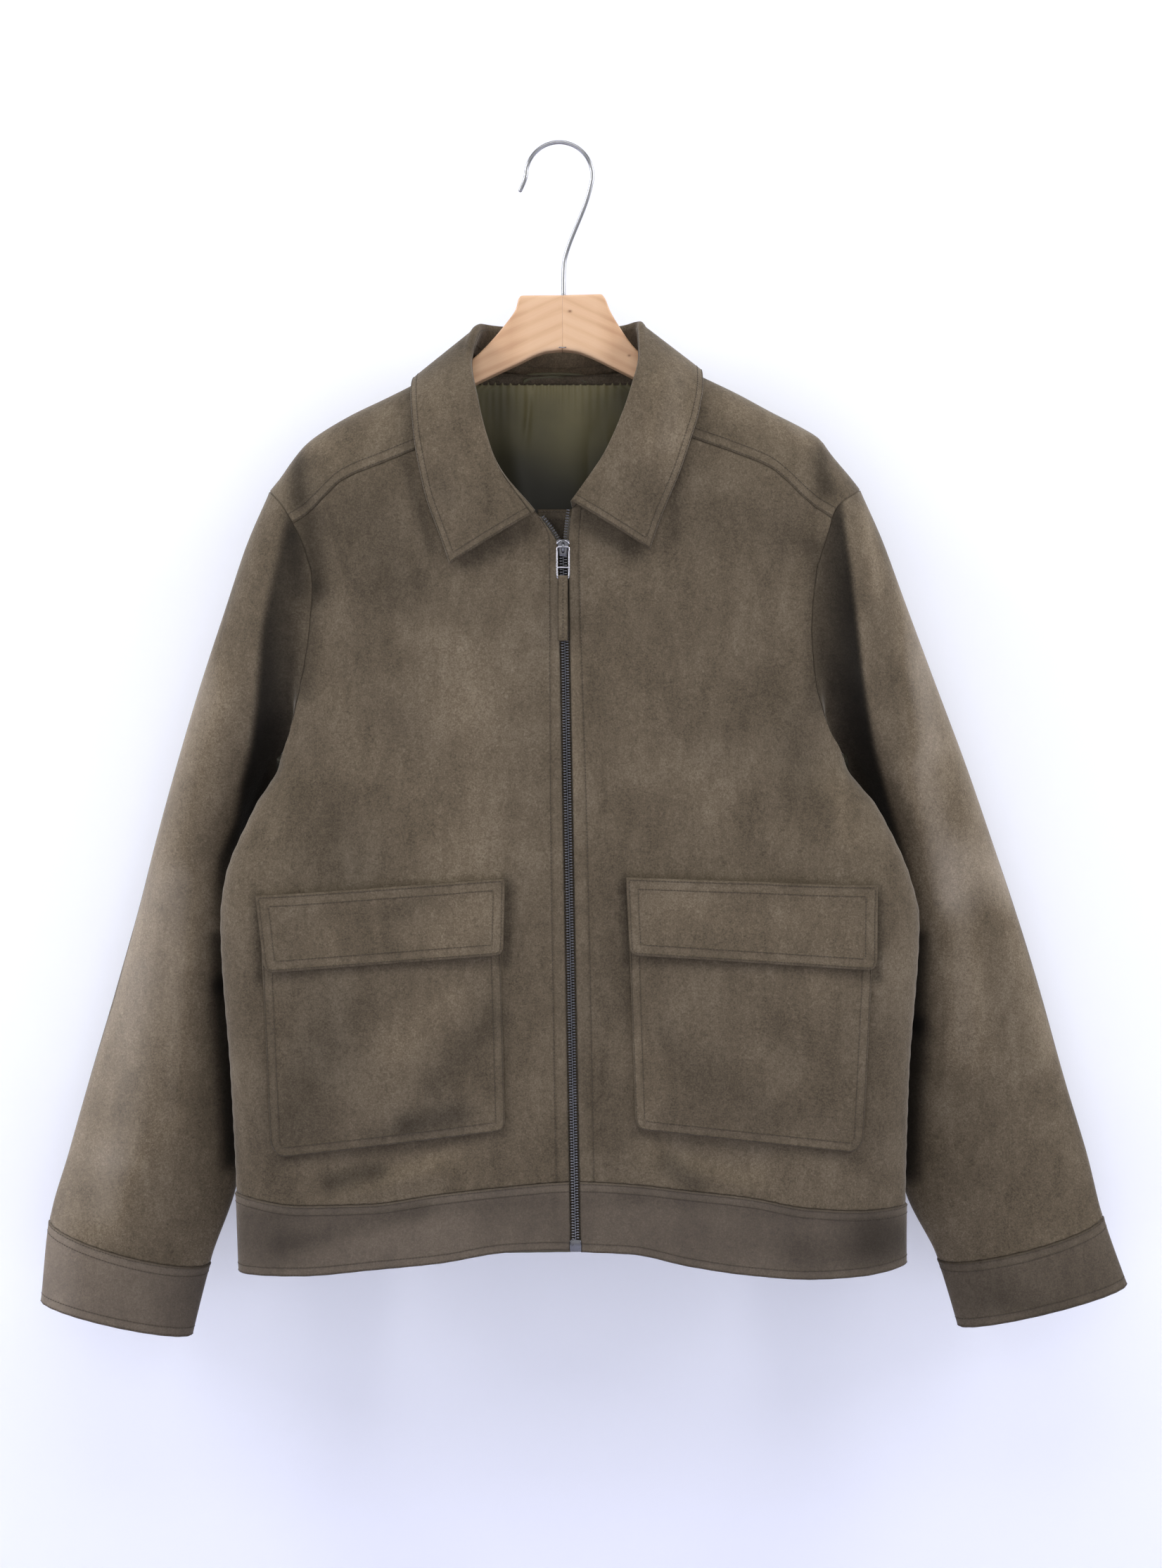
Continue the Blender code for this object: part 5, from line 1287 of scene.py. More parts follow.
for side, tag in sides:
    for kind in ("pocket", "flap"):
        flat, p, q, width, height = patchPoints(kind, side)
        look = patchLook[kind]
        sheet, normal = laid(front, flat[..., 0], flat[..., 1])
        ways = edgeWays(sheet, False)
        if kind == "pocket":
            # the patch stands off a little in the middle
            toSide = np.minimum(ways["firstColumn"], ways["lastColumn"])
            rise = (fadeIn(np.minimum(toSide, ways["lastRow"]), 4, 45) * look["swell"]
                    + pucker(toSide, q, 0.3, 12.0, 0.6)
                    + pucker(ways["lastRow"], p, 0.35, 13.0, 0.1))
            stitched = ["firstColumn", "lastRow", "lastColumn"]
        else:
            # the flap stands off towards its free edge, one side more than the other
            free = fadeIn(ways["firstRow"], 8, height)
            rise = (free * look["swell"] + look["tilt"] * np.sin(p * 2 * math.pi / width) * free
                    + pucker(ways["lastRow"], p, 0.35, 15.0, 0.5)
                    + pucker(ways["firstRow"], p, 0.25, 12.0, 0.9))
            stitched = ["firstRow", "firstColumn", "lastRow", "lastColumn"]
        name = kind + "_" + tag
        cloth("shell_" + name, raised(sheet, normal, rise), normal, look["thick"],
              [panelSuede[name], panelSuede["trim"]],
              "suede" if kind == "pocket" else "suede_band", [name], stitched=stitched,
              rows=look["rows"], lift=look["low"] + look["thick"],
              hangsFrom=["shell_front_" + tag])
        sewn("shell_" + name, threadDark)
print("scene: pockets and flaps")


liningLook = dict(topX=62.0, lowX=150.0, topZ=-178.5, sag=3.0, lowZ=-420.0, inside=4.6, thick=1.0,
                  gatherFade=11.0, gatherWave=0.9, wander=2.0, wanderWave=11.0, hollow=-1.6, high=6)
# its long folds: x at the top, slant, half width and depth of each, and how far down it fades in
# and out; the last numbers lie past the lining's end where a fold runs right down
liningFolds = [(-22, 0.10, 3.0, 1.6, (4, 12), (30, 60)), (52, 0.05, 9.0, 4.0, (2, 40), (400, 500)),
               (32, 0.0, 12.0, -3.0, (8, 60), (400, 500)),
               (-40, -0.12, 14.0, 2.5, (10, 60), (400, 500))]


def liningPatch():
    # straight lines across between its spreading sides, on the inside of the back
    look = liningLook
    u, v = np.meshgrid(np.linspace(0, 1, 161), places(240, 3.0))
    half = mixed(look["topX"], look["lowX"], v ** 0.5)
    x = mixed(-half, half, u)
    z = mixed(look["topZ"] - look["sag"] * np.sin(math.pi * u), look["lowZ"], v)
    sheet, normal = laid(back, x, z)
    down = look["topZ"] - z
    # gathers under the binding, then a bell across each long fold
    wave = np.exp(-down / look["gatherFade"]) * np.sin(
        x / look["gatherWave"] + look["wander"] * np.sin(x / look["wanderWave"]))
    for middle, slant, width, depth, starts, ends in liningFolds:
        fold = depth * np.exp(-((x - middle + down * slant) / width) ** 2)
        wave = wave + fold * fadeIn(down, *starts) * (1 - fadeIn(down, *ends))
    wave = np.clip(wave, look["hollow"], look["high"])
    return raised(sheet, normal, -look["inside"] - wave), normal


sheet, normal = liningPatch()
cloth("lining_back_cloth", sheet, normal, liningLook["thick"], [satinLiningPaintedLight, satinLiningPaintedLight], "satin",
      ["lining_back"], lift=0.5, hangsFrom=["shell_yoke"])
bindingLook = dict(half=66.0, topZ=-171.0, sag=4.0, lowZ=-182.4, inside=5.0, swell=0.6)


def bindingStrip():
    # a narrow folded strip over the lining's top edge: its top line sags as a sine, and it
    # swells across as another
    look = bindingLook
    u, v = np.meshgrid(np.linspace(0, 1, 121), places(9, 1.4))
    x = mixed(-look["half"], look["half"], u)
    z = mixed(look["topZ"] - look["sag"] * np.sin(math.pi * u), look["lowZ"], v)
    sheet, normal = laid(back, x, z)
    ripple = 0.16 * np.sin(x / 1.1 + 1.5 * np.sin(x / 9.0)) * v
    inside = look["inside"] + look["swell"] * np.sin(math.pi * v) + ripple
    return raised(sheet, normal, -inside), normal


sheet, normal = bindingStrip()
cloth("lining_binding", sheet, normal, 1.0, [panelSuede["trim"], panelSuede["trim"]], "suede", [],
      stitched=["lastRow"], lift=0.5, hangsFrom=["shell_collar_stand"], declare=False)
loopLook = dict(fromX=-28.5, toX=21.5, topZ=-175.8, width=4.6, drop=4.5, stand=5.4, bow=2.2,
                rise=0.8, neckY=29.0, neckBow=5.0, neckHalf=45.0, ripple=0.5, rippleWave=1.7)


def hangLoop():
    # a strip that bows forwards and up as half a sine and turns down at its sewn ends
    look = loopLook
    t, w = np.meshgrid(np.linspace(0, 1, 41), places(6.2, 1.2))
    x = mixed(look["fromX"], look["toX"], t)
    arch = np.sin(math.pi * t)
    ends = np.abs(2 * t - 1) ** 7
    neck = look["neckY"] - look["neckBow"] * (x / look["neckHalf"]) ** 2
    y = (neck - look["stand"] - look["bow"] * arch
         - look["ripple"] * np.sin(x / look["rippleWave"]) * ends)
    z = (look["topZ"] + look["rise"] * arch - look["width"] * w
         - look["drop"] * ends * (0.4 + 0.6 * w))
    return stacked(x, y, z)


sheet = hangLoop()
cloth("hang_loop_strip", sheet, np.broadcast_to([0.0, -1.0, 0.0], sheet.shape), 1.0,
      [satinInside, satinInside], "satin", ["hang_loop"], hangsFrom=["lining_binding"],
      declare=False)
print("scene: lining")


# sunk is a tooth's lift from the fronts, behind them when below 0; openPitch, openTop and small
# are the spacing, in pitches, the end and the size of the teeth above the slider
teethLook = dict(pitch=2.14, deep=2.0, sunk=-0.95, small=0.74, openPitch={left: 0.82, right: 0.97},
                 openTop={left: -295.5, right: -290.5}, fromZip=1.3, fromEdge=2.7)
# foot is how far above the zip's bottom the strips begin; the tapes end at topZ; tapeIn and
# guardIn are the lifts of a strip's outer face from the fronts, behind them when below 0
zipLook = dict(foot=7, tapeLength=555, guardLength=560, topZ=-295.4, tapeThick=0.8, tapeIn=-2.1,
               tapeWidth=11.0, guardThick=1.6, guardIn=-3.3, guardLeft=19, guardRight=14)


def zipStrip(name, xLeft, xRight, z, material, slot, replaces, lift, thick, hangsFrom,
             stitched=(), rows=(1.5, 8.0)):
    # straight lines across between two x lines, laid on the front face and lifted from it
    u = places(max(abs(float(np.mean(xRight - xLeft))), 8.0), 2.0)
    x = mixed(xLeft[:, None], xRight[:, None], u[None, :])
    sheet, normal = laid(front, x, z[:, None])
    return cloth(name, sheet, normal, thick, [material, material], slot, replaces,
                 stitched=stitched, rows=rows, lift=lift, hangsFrom=[hangsFrom])


z = (zipLine["bottom"] + zipLook["foot"]
     + zipLook["tapeLength"] * places(zipLook["tapeLength"], 4.0))
z = np.append(z[z < zipLook["topZ"] - 0.6], zipLook["topZ"])
for side, tag in sides:
    edge = zipEdgeX(side, z)
    inner = edge - side * (0.3 + 3.7 * fadeIn(z, -322, -312))
    outer = edge + side * zipLook["tapeWidth"]
    pair = (outer, inner) if side == left else (inner, outer)
    zipStrip("zip_tape_cloth_" + tag, pair[0], pair[1], z, tapeCloth, "tape", ["zip_tape_" + tag],
             zipLook["tapeIn"], zipLook["tapeThick"], "shell_front_" + tag)
z = (zipLine["bottom"] + zipLook["foot"]
     + zipLook["guardLength"] * places(zipLook["guardLength"], 4.0))
zipStrip("zip_guard_cloth", zipX(z) - zipLook["guardLeft"], zipX(z) + zipLook["guardRight"], z,
         panelSuede["trim"], "suede_band", ["zip_guard"], zipLook["guardIn"],
         zipLook["guardThick"], "shell_front_right", stitched=["lastRow"], rows=(1.8, 8.0))
sewn("zip_guard_cloth", threadDark)


def toothShape():
    # a rounded bar with a domed head at its inner end; x points to the other tape
    outline = [(-1.5, 0.50), (-0.2, 0.62), (0.5, 0.34), (1.3, 0.52), (1.7, 0.42), (1.95, 0.0)]
    points, faces = [], []
    for x, half in outline[:-1]:
        deep = teethLook["deep"] / 2 * (0.8 if x > 1.2 else 1.0)
        points += [(x, deep, half), (x, -deep * 0.72, half), (x, -deep, half * 0.45),
                   (x, -deep, -half * 0.45), (x, -deep * 0.72, -half), (x, deep, -half)]
    for ring in range(len(outline) - 2):
        for k in range(6):
            n = (k + 1) % 6
            a, b = ring * 6, ring * 6 + 6
            faces += [(a + k, a + n, b + n), (a + k, b + n, b + k)]
    tip = len(points)
    points.append((outline[-1][0], 0, 0))
    last = 6 * (len(outline) - 2)
    faces += [(last + k, last + (k + 1) % 6, tip) for k in range(6)]
    faces += [(0, k + 1, k) for k in range(1, 5)]
    return np.array(points), np.array(faces)


def toothX(side, z, rise=0.0):
    # beside the zip's line where it is closed, and inside the tape's edge where it is open
    return np.where(z < zipLine["top"] - 1, zipX(z + rise) + side * teethLook["fromZip"],
                    zipEdgeX(side, z + rise) - side * teethLook["fromEdge"])


def zipTeeth():
    # one tooth at each height, turned so that it points across to the other tape
    shape, faces = toothShape()
    centres, axes, sizes = [], [], []
    for side in (left, right):
        pitch = teethLook["pitch"]
        offset = 0.0 if side == left else pitch / 2
        closed = np.arange(zipLine["bottom"] + 9 + offset, zipLine["top"] - 1, pitch)
        opened = np.arange(zipLine["top"] - 1 + offset, teethLook["openTop"][side],
                           pitch * teethLook["openPitch"][side])
        for z, size in ((closed, 1.0), (opened, teethLook["small"])):
            points, normal = laid(front, toothX(side, z), z)
            up = unit(bodyAt(front, toothX(side, z, 1), z + 1) - points)
            inwards = unit(np.cross(normal, up))
            inwards = inwards * np.where(inwards[:, :1] * -side > 0, 1, -1)
            centres.append(points + normal * teethLook["sunk"])
            axes.append(np.stack([inwards, -normal, np.cross(inwards, -normal)], axis=1))
            sizes.append(np.full(len(z), size))
    centre = np.concatenate(centres)
    points = (centre[:, None] + np.einsum("pk,nkc->npc", shape, np.concatenate(axes))
              * np.concatenate(sizes)[:, None, None])
    every = faces[None] + len(shape) * np.arange(len(centre))[:, None, None]
    return newObject("zip_teeth", points.reshape(-1, 3), every.reshape(-1, 3), [gunmetal],
                     smooth=False)


def register(made, body, replaces):
    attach(made, body)
    if replaces:
        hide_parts(*replaces)
    return made


register(zipTeeth(), "jacket", ["zip_chain"])


def tube(name, path, radius, material, body, closed=False, around=12, flat=1.0,
         replaces=()):
    # rings square to a path that stays near one plane, closed with small domes
    path = np.asarray(path, float)
    if closed:
        ahead = unit(np.roll(path, -1, axis=0) - np.roll(path, 1, axis=0))
    else:
        ahead = unit(np.gradient(path, axis=0))
    plane = np.linalg.svd(path - path.mean(axis=0))[2][2]
    aside = unit(np.cross(ahead, plane))
    turn = turnsRound(around)
    size = np.full(len(path), float(radius))
    if not closed:
        # three rings of each dome: how far out and how wide, in radii
        out, wide = np.array([[0.8], [0.65], [0.35]]), np.array([0.0, 0.6, 0.9])
        path = np.concatenate([path[:1] - ahead[:1] * radius * out, path,
                               path[-1:] + ahead[-1:] * radius * out[::-1]])
        aside = np.concatenate([aside[:1].repeat(3, 0), aside, aside[-1:].repeat(3, 0)])
        size = np.concatenate([radius * wide + 0.01, size, radius * wide[::-1] + 0.01])
    ring = (aside[:, None] * np.cos(turn)[None, :, None]
            + plane * flat * np.sin(turn)[None, :, None])
    points = path[:, None] + ring * size[:, None, None]
    count = len(path)
    faces = gridFaces(count, around, True)
    if closed:
        k = np.arange(around)
        faces = np.concatenate([faces, np.stack([(count - 1) * around + k,
                                                 (count - 1) * around + (k + 1) % around,
                                                 (k + 1) % around, k], axis=1)])
    made = newObject(name, points.reshape(-1, 3), faces, [material])
    turnOut(made)
    return register(made, body, replaces)


def turnOut(made):
    # merge the closed tips and make all faces point outwards
    edit = bmesh.new()
    edit.from_mesh(made.data)
    bmesh.ops.remove_doubles(edit, verts=edit.verts, dist=0.00002)
    bmesh.ops.recalc_face_normals(edit, faces=edit.faces)
    edit.to_mesh(made.data)
    edit.free()


def loft(name, rings, material, body, replaces=()):
    # closed surface through rings of points, each end closed with a fan
    rings = np.asarray(rings, float)
    count, around = rings.shape[:2]
    points = np.concatenate([rings.reshape(-1, 3), rings[:1].mean(axis=1), rings[-1:].mean(axis=1)])
    k = np.arange(around)
    n = (k + 1) % around
    last, tip = (count - 1) * around, np.full(around, count * around)
    fans = np.concatenate([np.stack([n, k, tip], axis=1),
                           np.stack([last + k, last + n, tip + 1], axis=1)])
    faces = gridFaces(count, around, True).tolist() + fans.tolist()
    made = newObject(name, points, faces, [material])
    turnOut(made)
    return register(made, body, replaces)


def squared(turn, first, second):
    # cosine and sine with their sizes raised to powers: the lower the power, the squarer
    c, s = np.cos(turn), np.sin(turn)
    return np.sign(c) * abs(c) ** first, np.sign(s) * abs(s) ** second


# bow and wing are wires' radii; bowOut and bowHalf are the bow's reach forwards and up
sliderLook = dict(pullZ=-319.5, stand=3.1, plateIn=1.0, bow=0.85, bowY=1.2, bowOut=3.7, bowZ=0.6,
                  bowHalf=3.5, wing=0.7, wingX=1.6, wingReach=2.9, wingY=1.9, wingBulge=0.3,
                  wingZ=4.6, wingDrop=2.0, frameHalf=4.6, frameDrop=24.0, wire=0.72, barWire=0.6,
                  barShare=0.66, strapLength=48.0, strapWidth=7.6, strapThick=1.0)


def frontY(x, z):
    return float(bodyAt(front, x, z)[1])


sliderX = float(zipX(sliderLook["pullZ"]))
sliderY = frontY(sliderX, sliderLook["pullZ"])


def sliderPlate():
    # two wings at the top that narrow to a rounded foot, domed in front: squared rings whose
    # half width and half depth are lists by height
    z = np.array([-7.2, -7.0, -6.2, -4.5, -2.0, 0.5, 2.6, 4.2, 5.2, 5.6, 5.7])
    half = np.array([1.6, 2.6, 3.1, 3.3, 3.6, 4.2, 4.9, 5.1, 4.6, 3.9, 2.8])
    thick = np.array([0.2, 0.5, 0.75, 0.85, 0.9, 0.9, 0.88, 0.8, 0.65, 0.4, 0.15])
    across, out = squared(turnsRound(28), 0.55, 0.7)
    return stacked(sliderX + half[:, None] * across,
                   sliderY - sliderLook["plateIn"] + thick[:, None] * out,
                   sliderLook["pullZ"] + z[:, None])


loft("zip_slider_body", sliderPlate(), gunmetal, "jacket", ["zip_slider"])


def sliderBow():
    # half an ellipse over the plate, which the pull's axis passes through
    look, angle = sliderLook, np.linspace(0, math.pi, 25)
    return stacked(sliderX, sliderY - look["bowY"] - look["bowOut"] * np.sin(angle),
                   look["pullZ"] - look["bowZ"] + look["bowHalf"] * np.cos(angle))


def sliderWing(side):
    # an edge over the slider's mouth, in the paler metal as a painted highlight: outwards, falling
    # by a square, bulging as a sine
    look, t = sliderLook, np.linspace(0, 1, 12)
    return stacked(sliderX + side * (look["wingX"] + look["wingReach"] * t),
                   sliderY - look["wingY"] - look["wingBulge"] * np.sin(math.pi * t),
                   look["pullZ"] + look["wingZ"] - look["wingDrop"] * t ** 2)


tube("zip_slider_bow", sliderBow(), sliderLook["bow"], gunmetal, "jacket", flat=1.35)
for side, tag in sides:
    tube("zip_slider_wing_" + tag, sliderWing(side), sliderLook["wing"], gunmetalPaintedHighlight,
         "jacket")


# the pull hangs beside the front, from its axis to the frame's lower wire
axisY = sliderY - sliderLook["stand"]
lowY = (frontY(sliderX, sliderLook["pullZ"] - sliderLook["frameDrop"]) - sliderLook["stand"]
        - 0.4)
slope = (lowY - axisY) / sliderLook["frameDrop"]


def pullFrame():
    # a rounded rectangle of wire: a superellipse in its own plane
    across, up = squared(turnsRound(72), 0.22, 0.16)
    down = sliderLook["frameDrop"] / 2 * (1 - up)
    return stacked(sliderX + across * sliderLook["frameHalf"], axisY + slope * down,
                   sliderLook["pullZ"] - down)


# the frame and its bar are in the paler metal, a painted highlight
tube("pull_frame_wire", pullFrame(), sliderLook["wire"], gunmetalPaintedHighlight, "zip_pull",
     closed=True, replaces=["pull_frame"])
barDown = sliderLook["barShare"] * sliderLook["frameDrop"]
t = np.linspace(-1, 1, 9)
tube("pull_frame_bar", stacked(sliderX + t * sliderLook["frameHalf"],
                               axisY + slope * barDown - 0.1 * (1 - t ** 2),
                               sliderLook["pullZ"] - barDown),
     sliderLook["barWire"], gunmetalPaintedHighlight, "zip_pull")


def strapSheet():
    # folded round the frame's lower wire: a loop, then two leaves that lie together
    loop, leaf, meet, length = 1.0, 0.62, 8.0, sliderLook["strapLength"]
    bend = [(math.sin(a) * loop, math.cos(a) * loop)
            for a in np.linspace(math.pi / 2, -math.pi / 2, 13)]
    down = -length + (length - meet) * places(length - meet, 2.2, "edge", "plain")
    behind = [(leaf, d) for d in down]
    behind += [(mixed(leaf, loop, f), -meet * (1 - f)) for f in (0.33, 0.66)]
    path = np.array(behind + bend + [(-y, d) for y, d in behind[::-1]])
    line = stacked(lowY + path[:, 0] - slope * np.minimum(path[:, 1], 0),
                   sliderLook["pullZ"] - sliderLook["frameDrop"] + path[:, 1])
    ahead = np.gradient(line, axis=0)
    aside = unit(stacked(-ahead[:, 1], ahead[:, 0]))
    if aside[0, 0] < 0:
        aside = -aside
    u = places(sliderLook["strapWidth"], 1.2)
    x = sliderX + (u - 0.5) * sliderLook["strapWidth"]
    return stacked(x, line[:, :1], line[:, 1:]), stacked(0 * x, aside[:, :1], aside[:, 1:])


sheet, normal = strapSheet()
strap = cloth("pull_strap_suede", sheet, normal, sliderLook["strapThick"],
              [panelSuede["trim"], panelSuede["trim"]], "suede_band", ["pull_strap"],
              lift=sliderLook["strapThick"], body="zip_pull", declare=False)
# one row of stitches down the middle of the strap's front leaf
down, middle = slice(len(sheet) * 4 // 7, len(sheet) - 2), sheet.shape[1] // 2
stitchMesh("stitches_pull_strap", [(strap["outer"][down, middle], strap["normal"][down, middle])],
           threadDark, "zip_pull")


def retainerBox():
    # squared rings over the zip's foot, rounded in at both ends
    z = zipLine["bottom"] + np.array([-0.6, -0.4, 0.2, 4.0, 7.6, 8.4, 8.7])
    half = np.array([3.2, 4.0, 4.5, 4.6, 4.5, 4.0, 3.2])
    thick = np.array([0.6, 1.2, 1.6, 1.8, 1.6, 1.2, 0.6])
    across, out = squared(turnsRound(24), 0.4, 0.5)
    x, y = zipX(z)[:, None], bodyAt(front, zipX(z), z)[:, 1:2]
    return stacked(x + half[:, None] * across, y + 0.3 + thick[:, None] * out, z[:, None])


loft("zip_box_metal", retainerBox(), gunmetal, "jacket", ["zip_box"])
print("scene: zip")


# the top and low lines of each half of the hanger, from the middle out, as x, z
boardForm = {
    left: dict(top=[(2.57, -119), (-29, -119.3), (-31.5, -121.5), (-34, -130), (-43, -143),
                    (-56, -158), (-69, -170), (-114, -194.5), (-161, -218), (-178, -227.5),
                    (-185.5, -235)],
               low=[(2.57, -162), (-10, -163.3), (-16, -165), (-24, -168.5), (-32, -172.5),
                    (-46, -179), (-65, -188), (-114, -212), (-161, -235), (-174, -241.5),
                    (-182.5, -242.5)]),
    right: dict(top=[(2.63, -119), (32, -118.2), (35.5, -121), (40, -131.5), (46, -142),
                     (58, -159), (70, -169.5), (112, -189.5), (165, -216), (188, -229),
                     (195.5, -236)],
                low=[(2.63, -162), (14, -163.4), (22, -166), (31, -170), (41, -175), (49, -179),
                     (57, -183), (112, -207), (165, -233), (184, -242.5), (192.5, -243.5)])}
boardLook = dict(halfThick=7.0, squareness=0.20, around=40, endReach=0.10, endLeast=0.12,
                 jointSize=0.985, jointGain=0.015, jointReach=0.02)


def boardRings(side):
    # squared bars between the top and low lines, station by station; the outer end narrows by a
    # square root, as a blunt nose, and the edge at the middle joint is broken a little
    look = boardLook
    at = np.unique(np.concatenate([np.linspace(0, 10, 121), [0.02, 0.06, 9.9, 9.96, 9.985]]))
    top, low = [stacked(*[through(np.arange(11), column, at)
                          for column in np.transpose(boardForm[side][edge])])
                for edge in ("top", "low")]
    middle, reach = (top + low) / 2, (top - low) / 2
    turn = turnsRound(look["around"], 0.5)
    out, up = squared(turn, look["squareness"], look["squareness"])
    end = np.clip((10 - at) / look["endReach"], 0, 1) ** 0.5
    joint = np.clip(look["jointSize"] + look["jointGain"] * (at / look["jointReach"]), 0, 1)
    size = (np.maximum(end, look["endLeast"]) * joint)[:, None]
    x = middle[:, :1] + reach[:, :1] * up * size
    z = middle[:, 1:] + reach[:, 1:] * up * size
    y = look["halfThick"] * out * size
    return stacked(x, y, z)


for side, tag in sides:
    loft("hanger_board_" + tag, boardRings(side), hangerWood, "jacket", ["hanger_" + tag])


# tip is x and z of the straight tip from the circle's left and middle; sweep is in degrees;
# straight and bent are the shares of the leaning run's two ways back to the middle
hookLook = dict(radius=26.0, wire=1.6, tip=[(-4.5, -12), (-3.3, -9.5), (-2.0, -7)],
                sweep=(186, -18), straight=0.55, bent=0.45, smoothings=6, shankX=3.4,
                shankTop=-94, shankZ=(-98, -104, -110, -116, -119))
stapleLook = dict(x=2.6, half=2.7, y=-7.3, turnIn=0.5, z=-160.3, bend=0.25, wire=0.38)


def hookPath():
    # a straight tip, most of a circle, a leaning run back to the middle and the shank, all
    # smoothed by averages of three neighbours
    look = hookLook
    radius, shankX = look["radius"], look["shankX"]
    centre = look["wire"] - radius
    angle = np.radians(np.linspace(*look["sweep"], 70))
    arc = stacked(radius * np.cos(angle), 0.0, centre + radius * np.sin(angle))
    tip = np.array([(x - radius, 0, centre + z) for x, z in look["tip"]])
    t = np.linspace(0, 1, 30)[1:]
    share = look["straight"] * t + look["bent"] * fadeIn(t, 0, 1)
    lean = stacked(arc[-1, 0] + (shankX - arc[-1, 0]) * share, 0.0,
                   arc[-1, 2] + (look["shankTop"] - arc[-1, 2]) * t)
    shank = np.array([(shankX, 0, z) for z in look["shankZ"]])
    path = np.concatenate([tip, arc, lean, shank])
    for smoothing in range(look["smoothings"]):
        path[1:-1] = (path[:-2] + 2 * path[1:-1] + path[2:]) / 4
    return path


tube("hook_wire", hookPath(), hookLook["wire"], chrome, "jacket", around=20,
     replaces=["hook"])


def staplePath():
    # a wire across the joint of the two halves, bent by a square and turned in at its ends
    look, t = stapleLook, np.linspace(-1, 1, 9)
    return stacked(look["x"] + look["half"] * t, look["y"] + look["turnIn"] * t ** 6,
                   look["z"] + look["bend"] * t ** 2)


tube("hanger_staple", staplePath(), stapleLook["wire"], chrome, "jacket")
print("scene: hanger")


# each sheet's cut size comes from its own rows and columns
for name, piece in cloths.items():
    if not piece["declare"]:
        continue
    sheet = piece["outer"]
    across = np.linalg.norm(np.diff(sheet, axis=1), axis=-1).sum(axis=1)
    down = np.linalg.norm(np.diff(sheet, axis=0), axis=-1).sum(axis=0)
    a = sheet[1:, 1:] - sheet[:-1, :-1]
    b = sheet[1:, :-1] - sheet[:-1, 1:]
    area = 0.5 * np.linalg.norm(np.cross(a, b), axis=-1).sum() * mm * mm
    if "firstColumn" not in piece["ways"]:
        # a tube: the strip between its last and first columns is added
        across = across + np.linalg.norm(sheet[:, 0] - sheet[:, -1], axis=-1)
        area *= len(sheet[0]) / (len(sheet[0]) - 1)
    width, length = float(across.max() * mm), float(down.max() * mm)
    min(max(area, 0.31 * width * length), width * length)
    [piece["stitches"]] if "stitches" in piece else []
    print("cut", name, round(width * 1000), "x", round(length * 1000), "mm, area",
          round(area * 1e4), "cm2")


# the wall's glow is painted light, and the shadow numbers give the wall and the floor a painted
# bluish shadow towards the foot
stageLook = dict(
    wallY=0.086, floorZ=-1.16, half=3, top=2.2, near=-3.5, wall=(0.86, 0.87, 0.93),
    floor=(0.86, 0.86, 0.87), glow=0.13, glowColour=(0.91, 0.93, 1.0, 1.0),
    shadowTop=-0.73, shadowRate=2.4, shadow=0.60, shadowColour=(0.70, 0.71, 0.87))


def plainFinish(name, colour, oneSided, glow):
    # paint with a faint mottle and a painted bluish shadow towards the foot; its glow is painted
    # light; one side can be clear from behind
    look = stageLook
    finish = Finish(name, Roughness=0.95, Specular_IOR_Level=0.05,
                    Emission_Color=look["glowColour"], Emission_Strength=glow)
    where = finish.place()
    shade = finish.between(finish.noise(where, 3.0), shaded(colour, 0.99), colour)
    height = finish.add("ShaderNodeSeparateXYZ", None, {"Vector": where}, out="Z")
    low = ((look["shadowTop"] - height) * look["shadowRate"]).highest(0.0).lowest(1.0)
    shade = finish.between(low * look["shadow"], shade, look["shadowColour"])
    finish.paint(Base_Color=shade)
    if oneSided:
        side = finish.add("ShaderNodeNewGeometry", out="Backfacing")
        clear = finish.add("ShaderNodeBsdfTransparent")
        shown = finish.add("ShaderNodeMixShader", None,
                           {0: side, 1: Wire(finish, finish.shader.outputs[0]), 2: clear})
        output = finish.tree.nodes["Material Output"]
        finish.tree.links.new(shown.socket, output.inputs["Surface"])
    return finish.material


def stagePlane(name, firstLine, secondLine, material):
    # a rectangle between two lines of y, z in metres, as wide as the stage
    half = stageLook["half"]
    corners = np.array([(-half, *firstLine), (half, *firstLine), (half, *secondLine),
                        (-half, *secondLine)])
    newObject(name, corners / mm, [[0, 1, 2, 3]], [material], smooth=False)


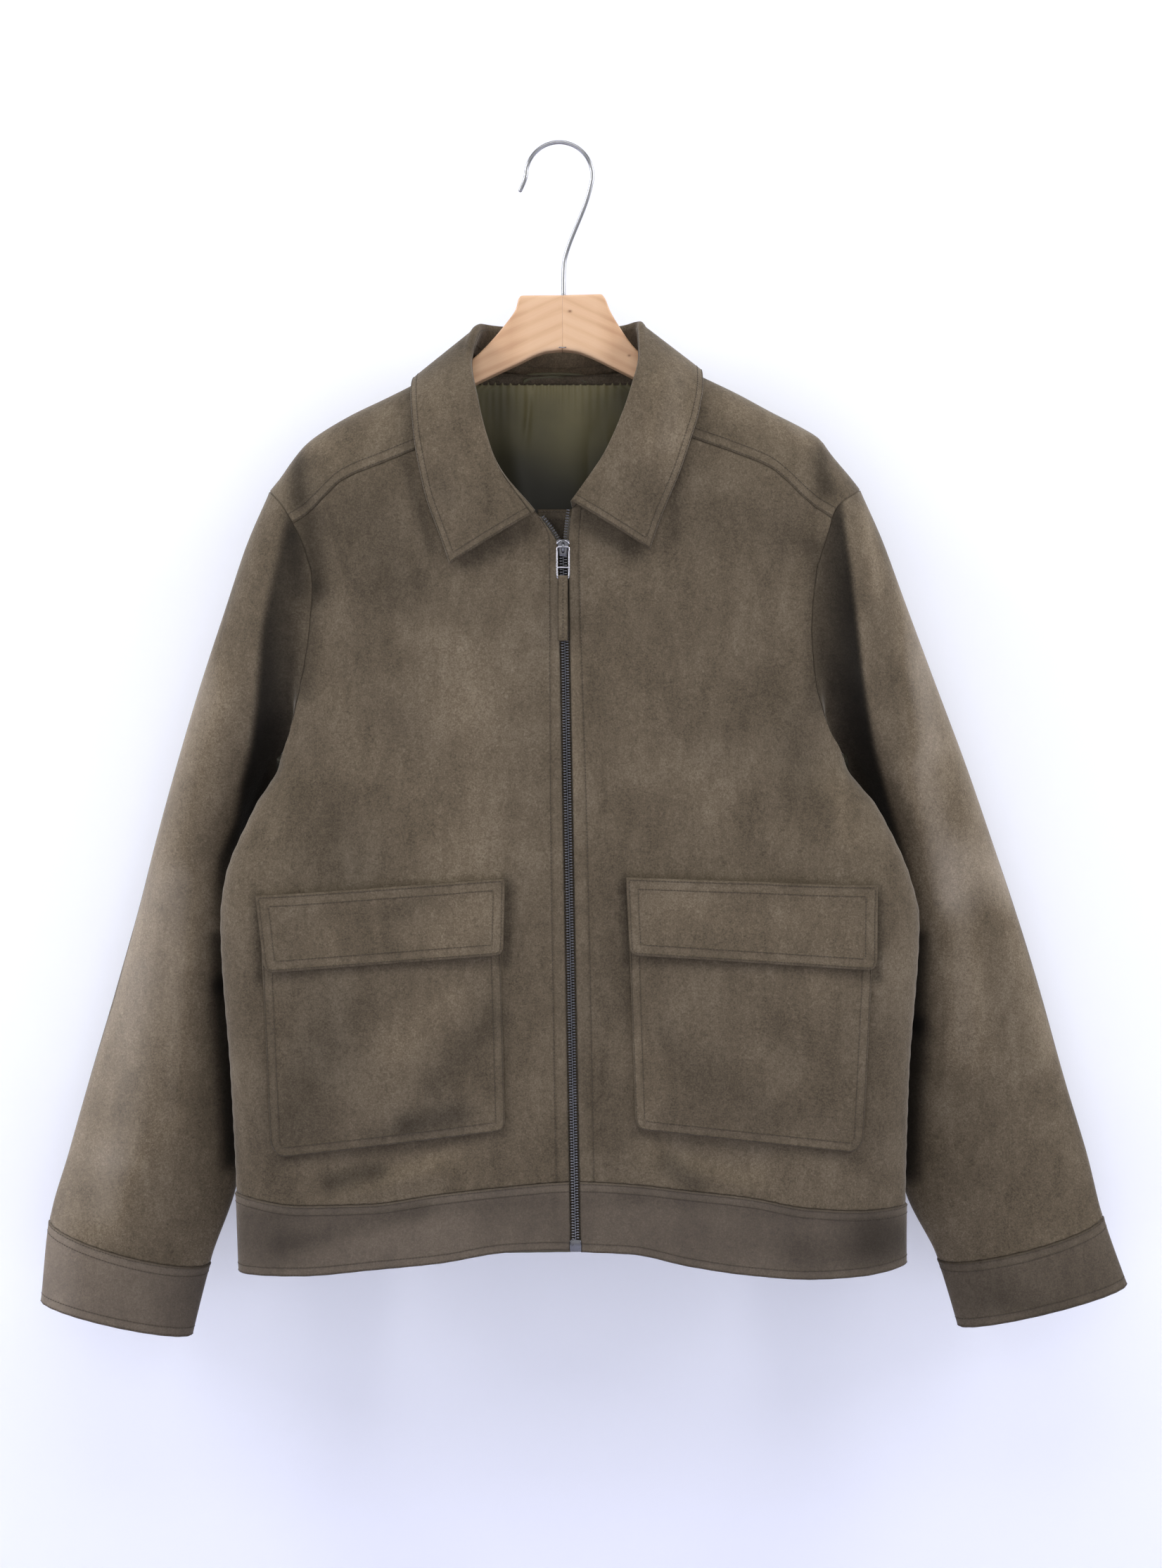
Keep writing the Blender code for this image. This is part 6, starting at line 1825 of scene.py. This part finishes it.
foot = (stageLook["wallY"], stageLook["floorZ"])
stagePlane("wall", foot, (stageLook["wallY"], stageLook["top"]),
           plainFinish("wall_paint", stageLook["wall"], True, stageLook["glow"]))
stagePlane("floor", (stageLook["near"], stageLook["floorZ"]), foot,
           plainFinish("floor_paint", stageLook["floor"], False, 0.0))


def softbox(name, place, aim, size, power, colour=(1, 1, 1)):
    light = bpy.data.lights.new(name, "AREA")
    light.shape = "RECTANGLE"
    light.size, light.size_y = size
    light.energy = power
    light.color = colour
    made = bpy.data.objects.new(name, light)
    made.location = place
    made.rotation_euler = (Vector(aim) - Vector(place)).to_track_quat("-Z", "Y").to_euler()
    bpy.context.scene.collection.objects.link(made)


softbox("card", (0.0, -2.9, 0.1), (0, 0, -0.4), (3.0, 2.0), 18)
softbox("top", (0.0, -1.3, 1.7), (0, 0, -0.5), (2.0, 0.8), 18)
softbox("side_left", (-2.1, -0.8, 0.6), (-0.1, 0, -0.45), (0.8, 1.4), 42, (0.98, 0.99, 1.0))
softbox("side_right", (2.15, -0.8, 0.65), (0.1, 0, -0.45), (0.8, 1.4), 42, (0.98, 0.99, 1.0))
world = bpy.data.worlds.new("studio")
bpy.context.scene.world = world
world.use_nodes = True
world.node_tree.nodes["Background"].inputs["Color"].default_value = (0.93, 0.95, 1.0, 1.0)
world.node_tree.nodes["Background"].inputs["Strength"].default_value = 0.20
# the camera looks straight ahead; seen is the width of its view at the hanger, in metres
cameraLook = dict(x=0.01705, away=2.0, z=-0.5005, sensor=36.0, seen=1.2265)
camera = bpy.data.objects.new("camera", bpy.data.cameras.new("camera"))
camera.location = (cameraLook["x"], -cameraLook["away"], cameraLook["z"])
camera.rotation_euler = (math.radians(90), 0, 0)
camera.data.sensor_width = cameraLook["sensor"]
camera.data.lens = cameraLook["sensor"] * cameraLook["away"] / cameraLook["seen"]
camera.data.clip_start, camera.data.clip_end = 0.05, 30.0
bpy.context.scene.collection.objects.link(camera)
bpy.context.scene.camera = camera
bpy.context.scene.view_settings.view_transform = "Standard"
print("scene: stage and camera")
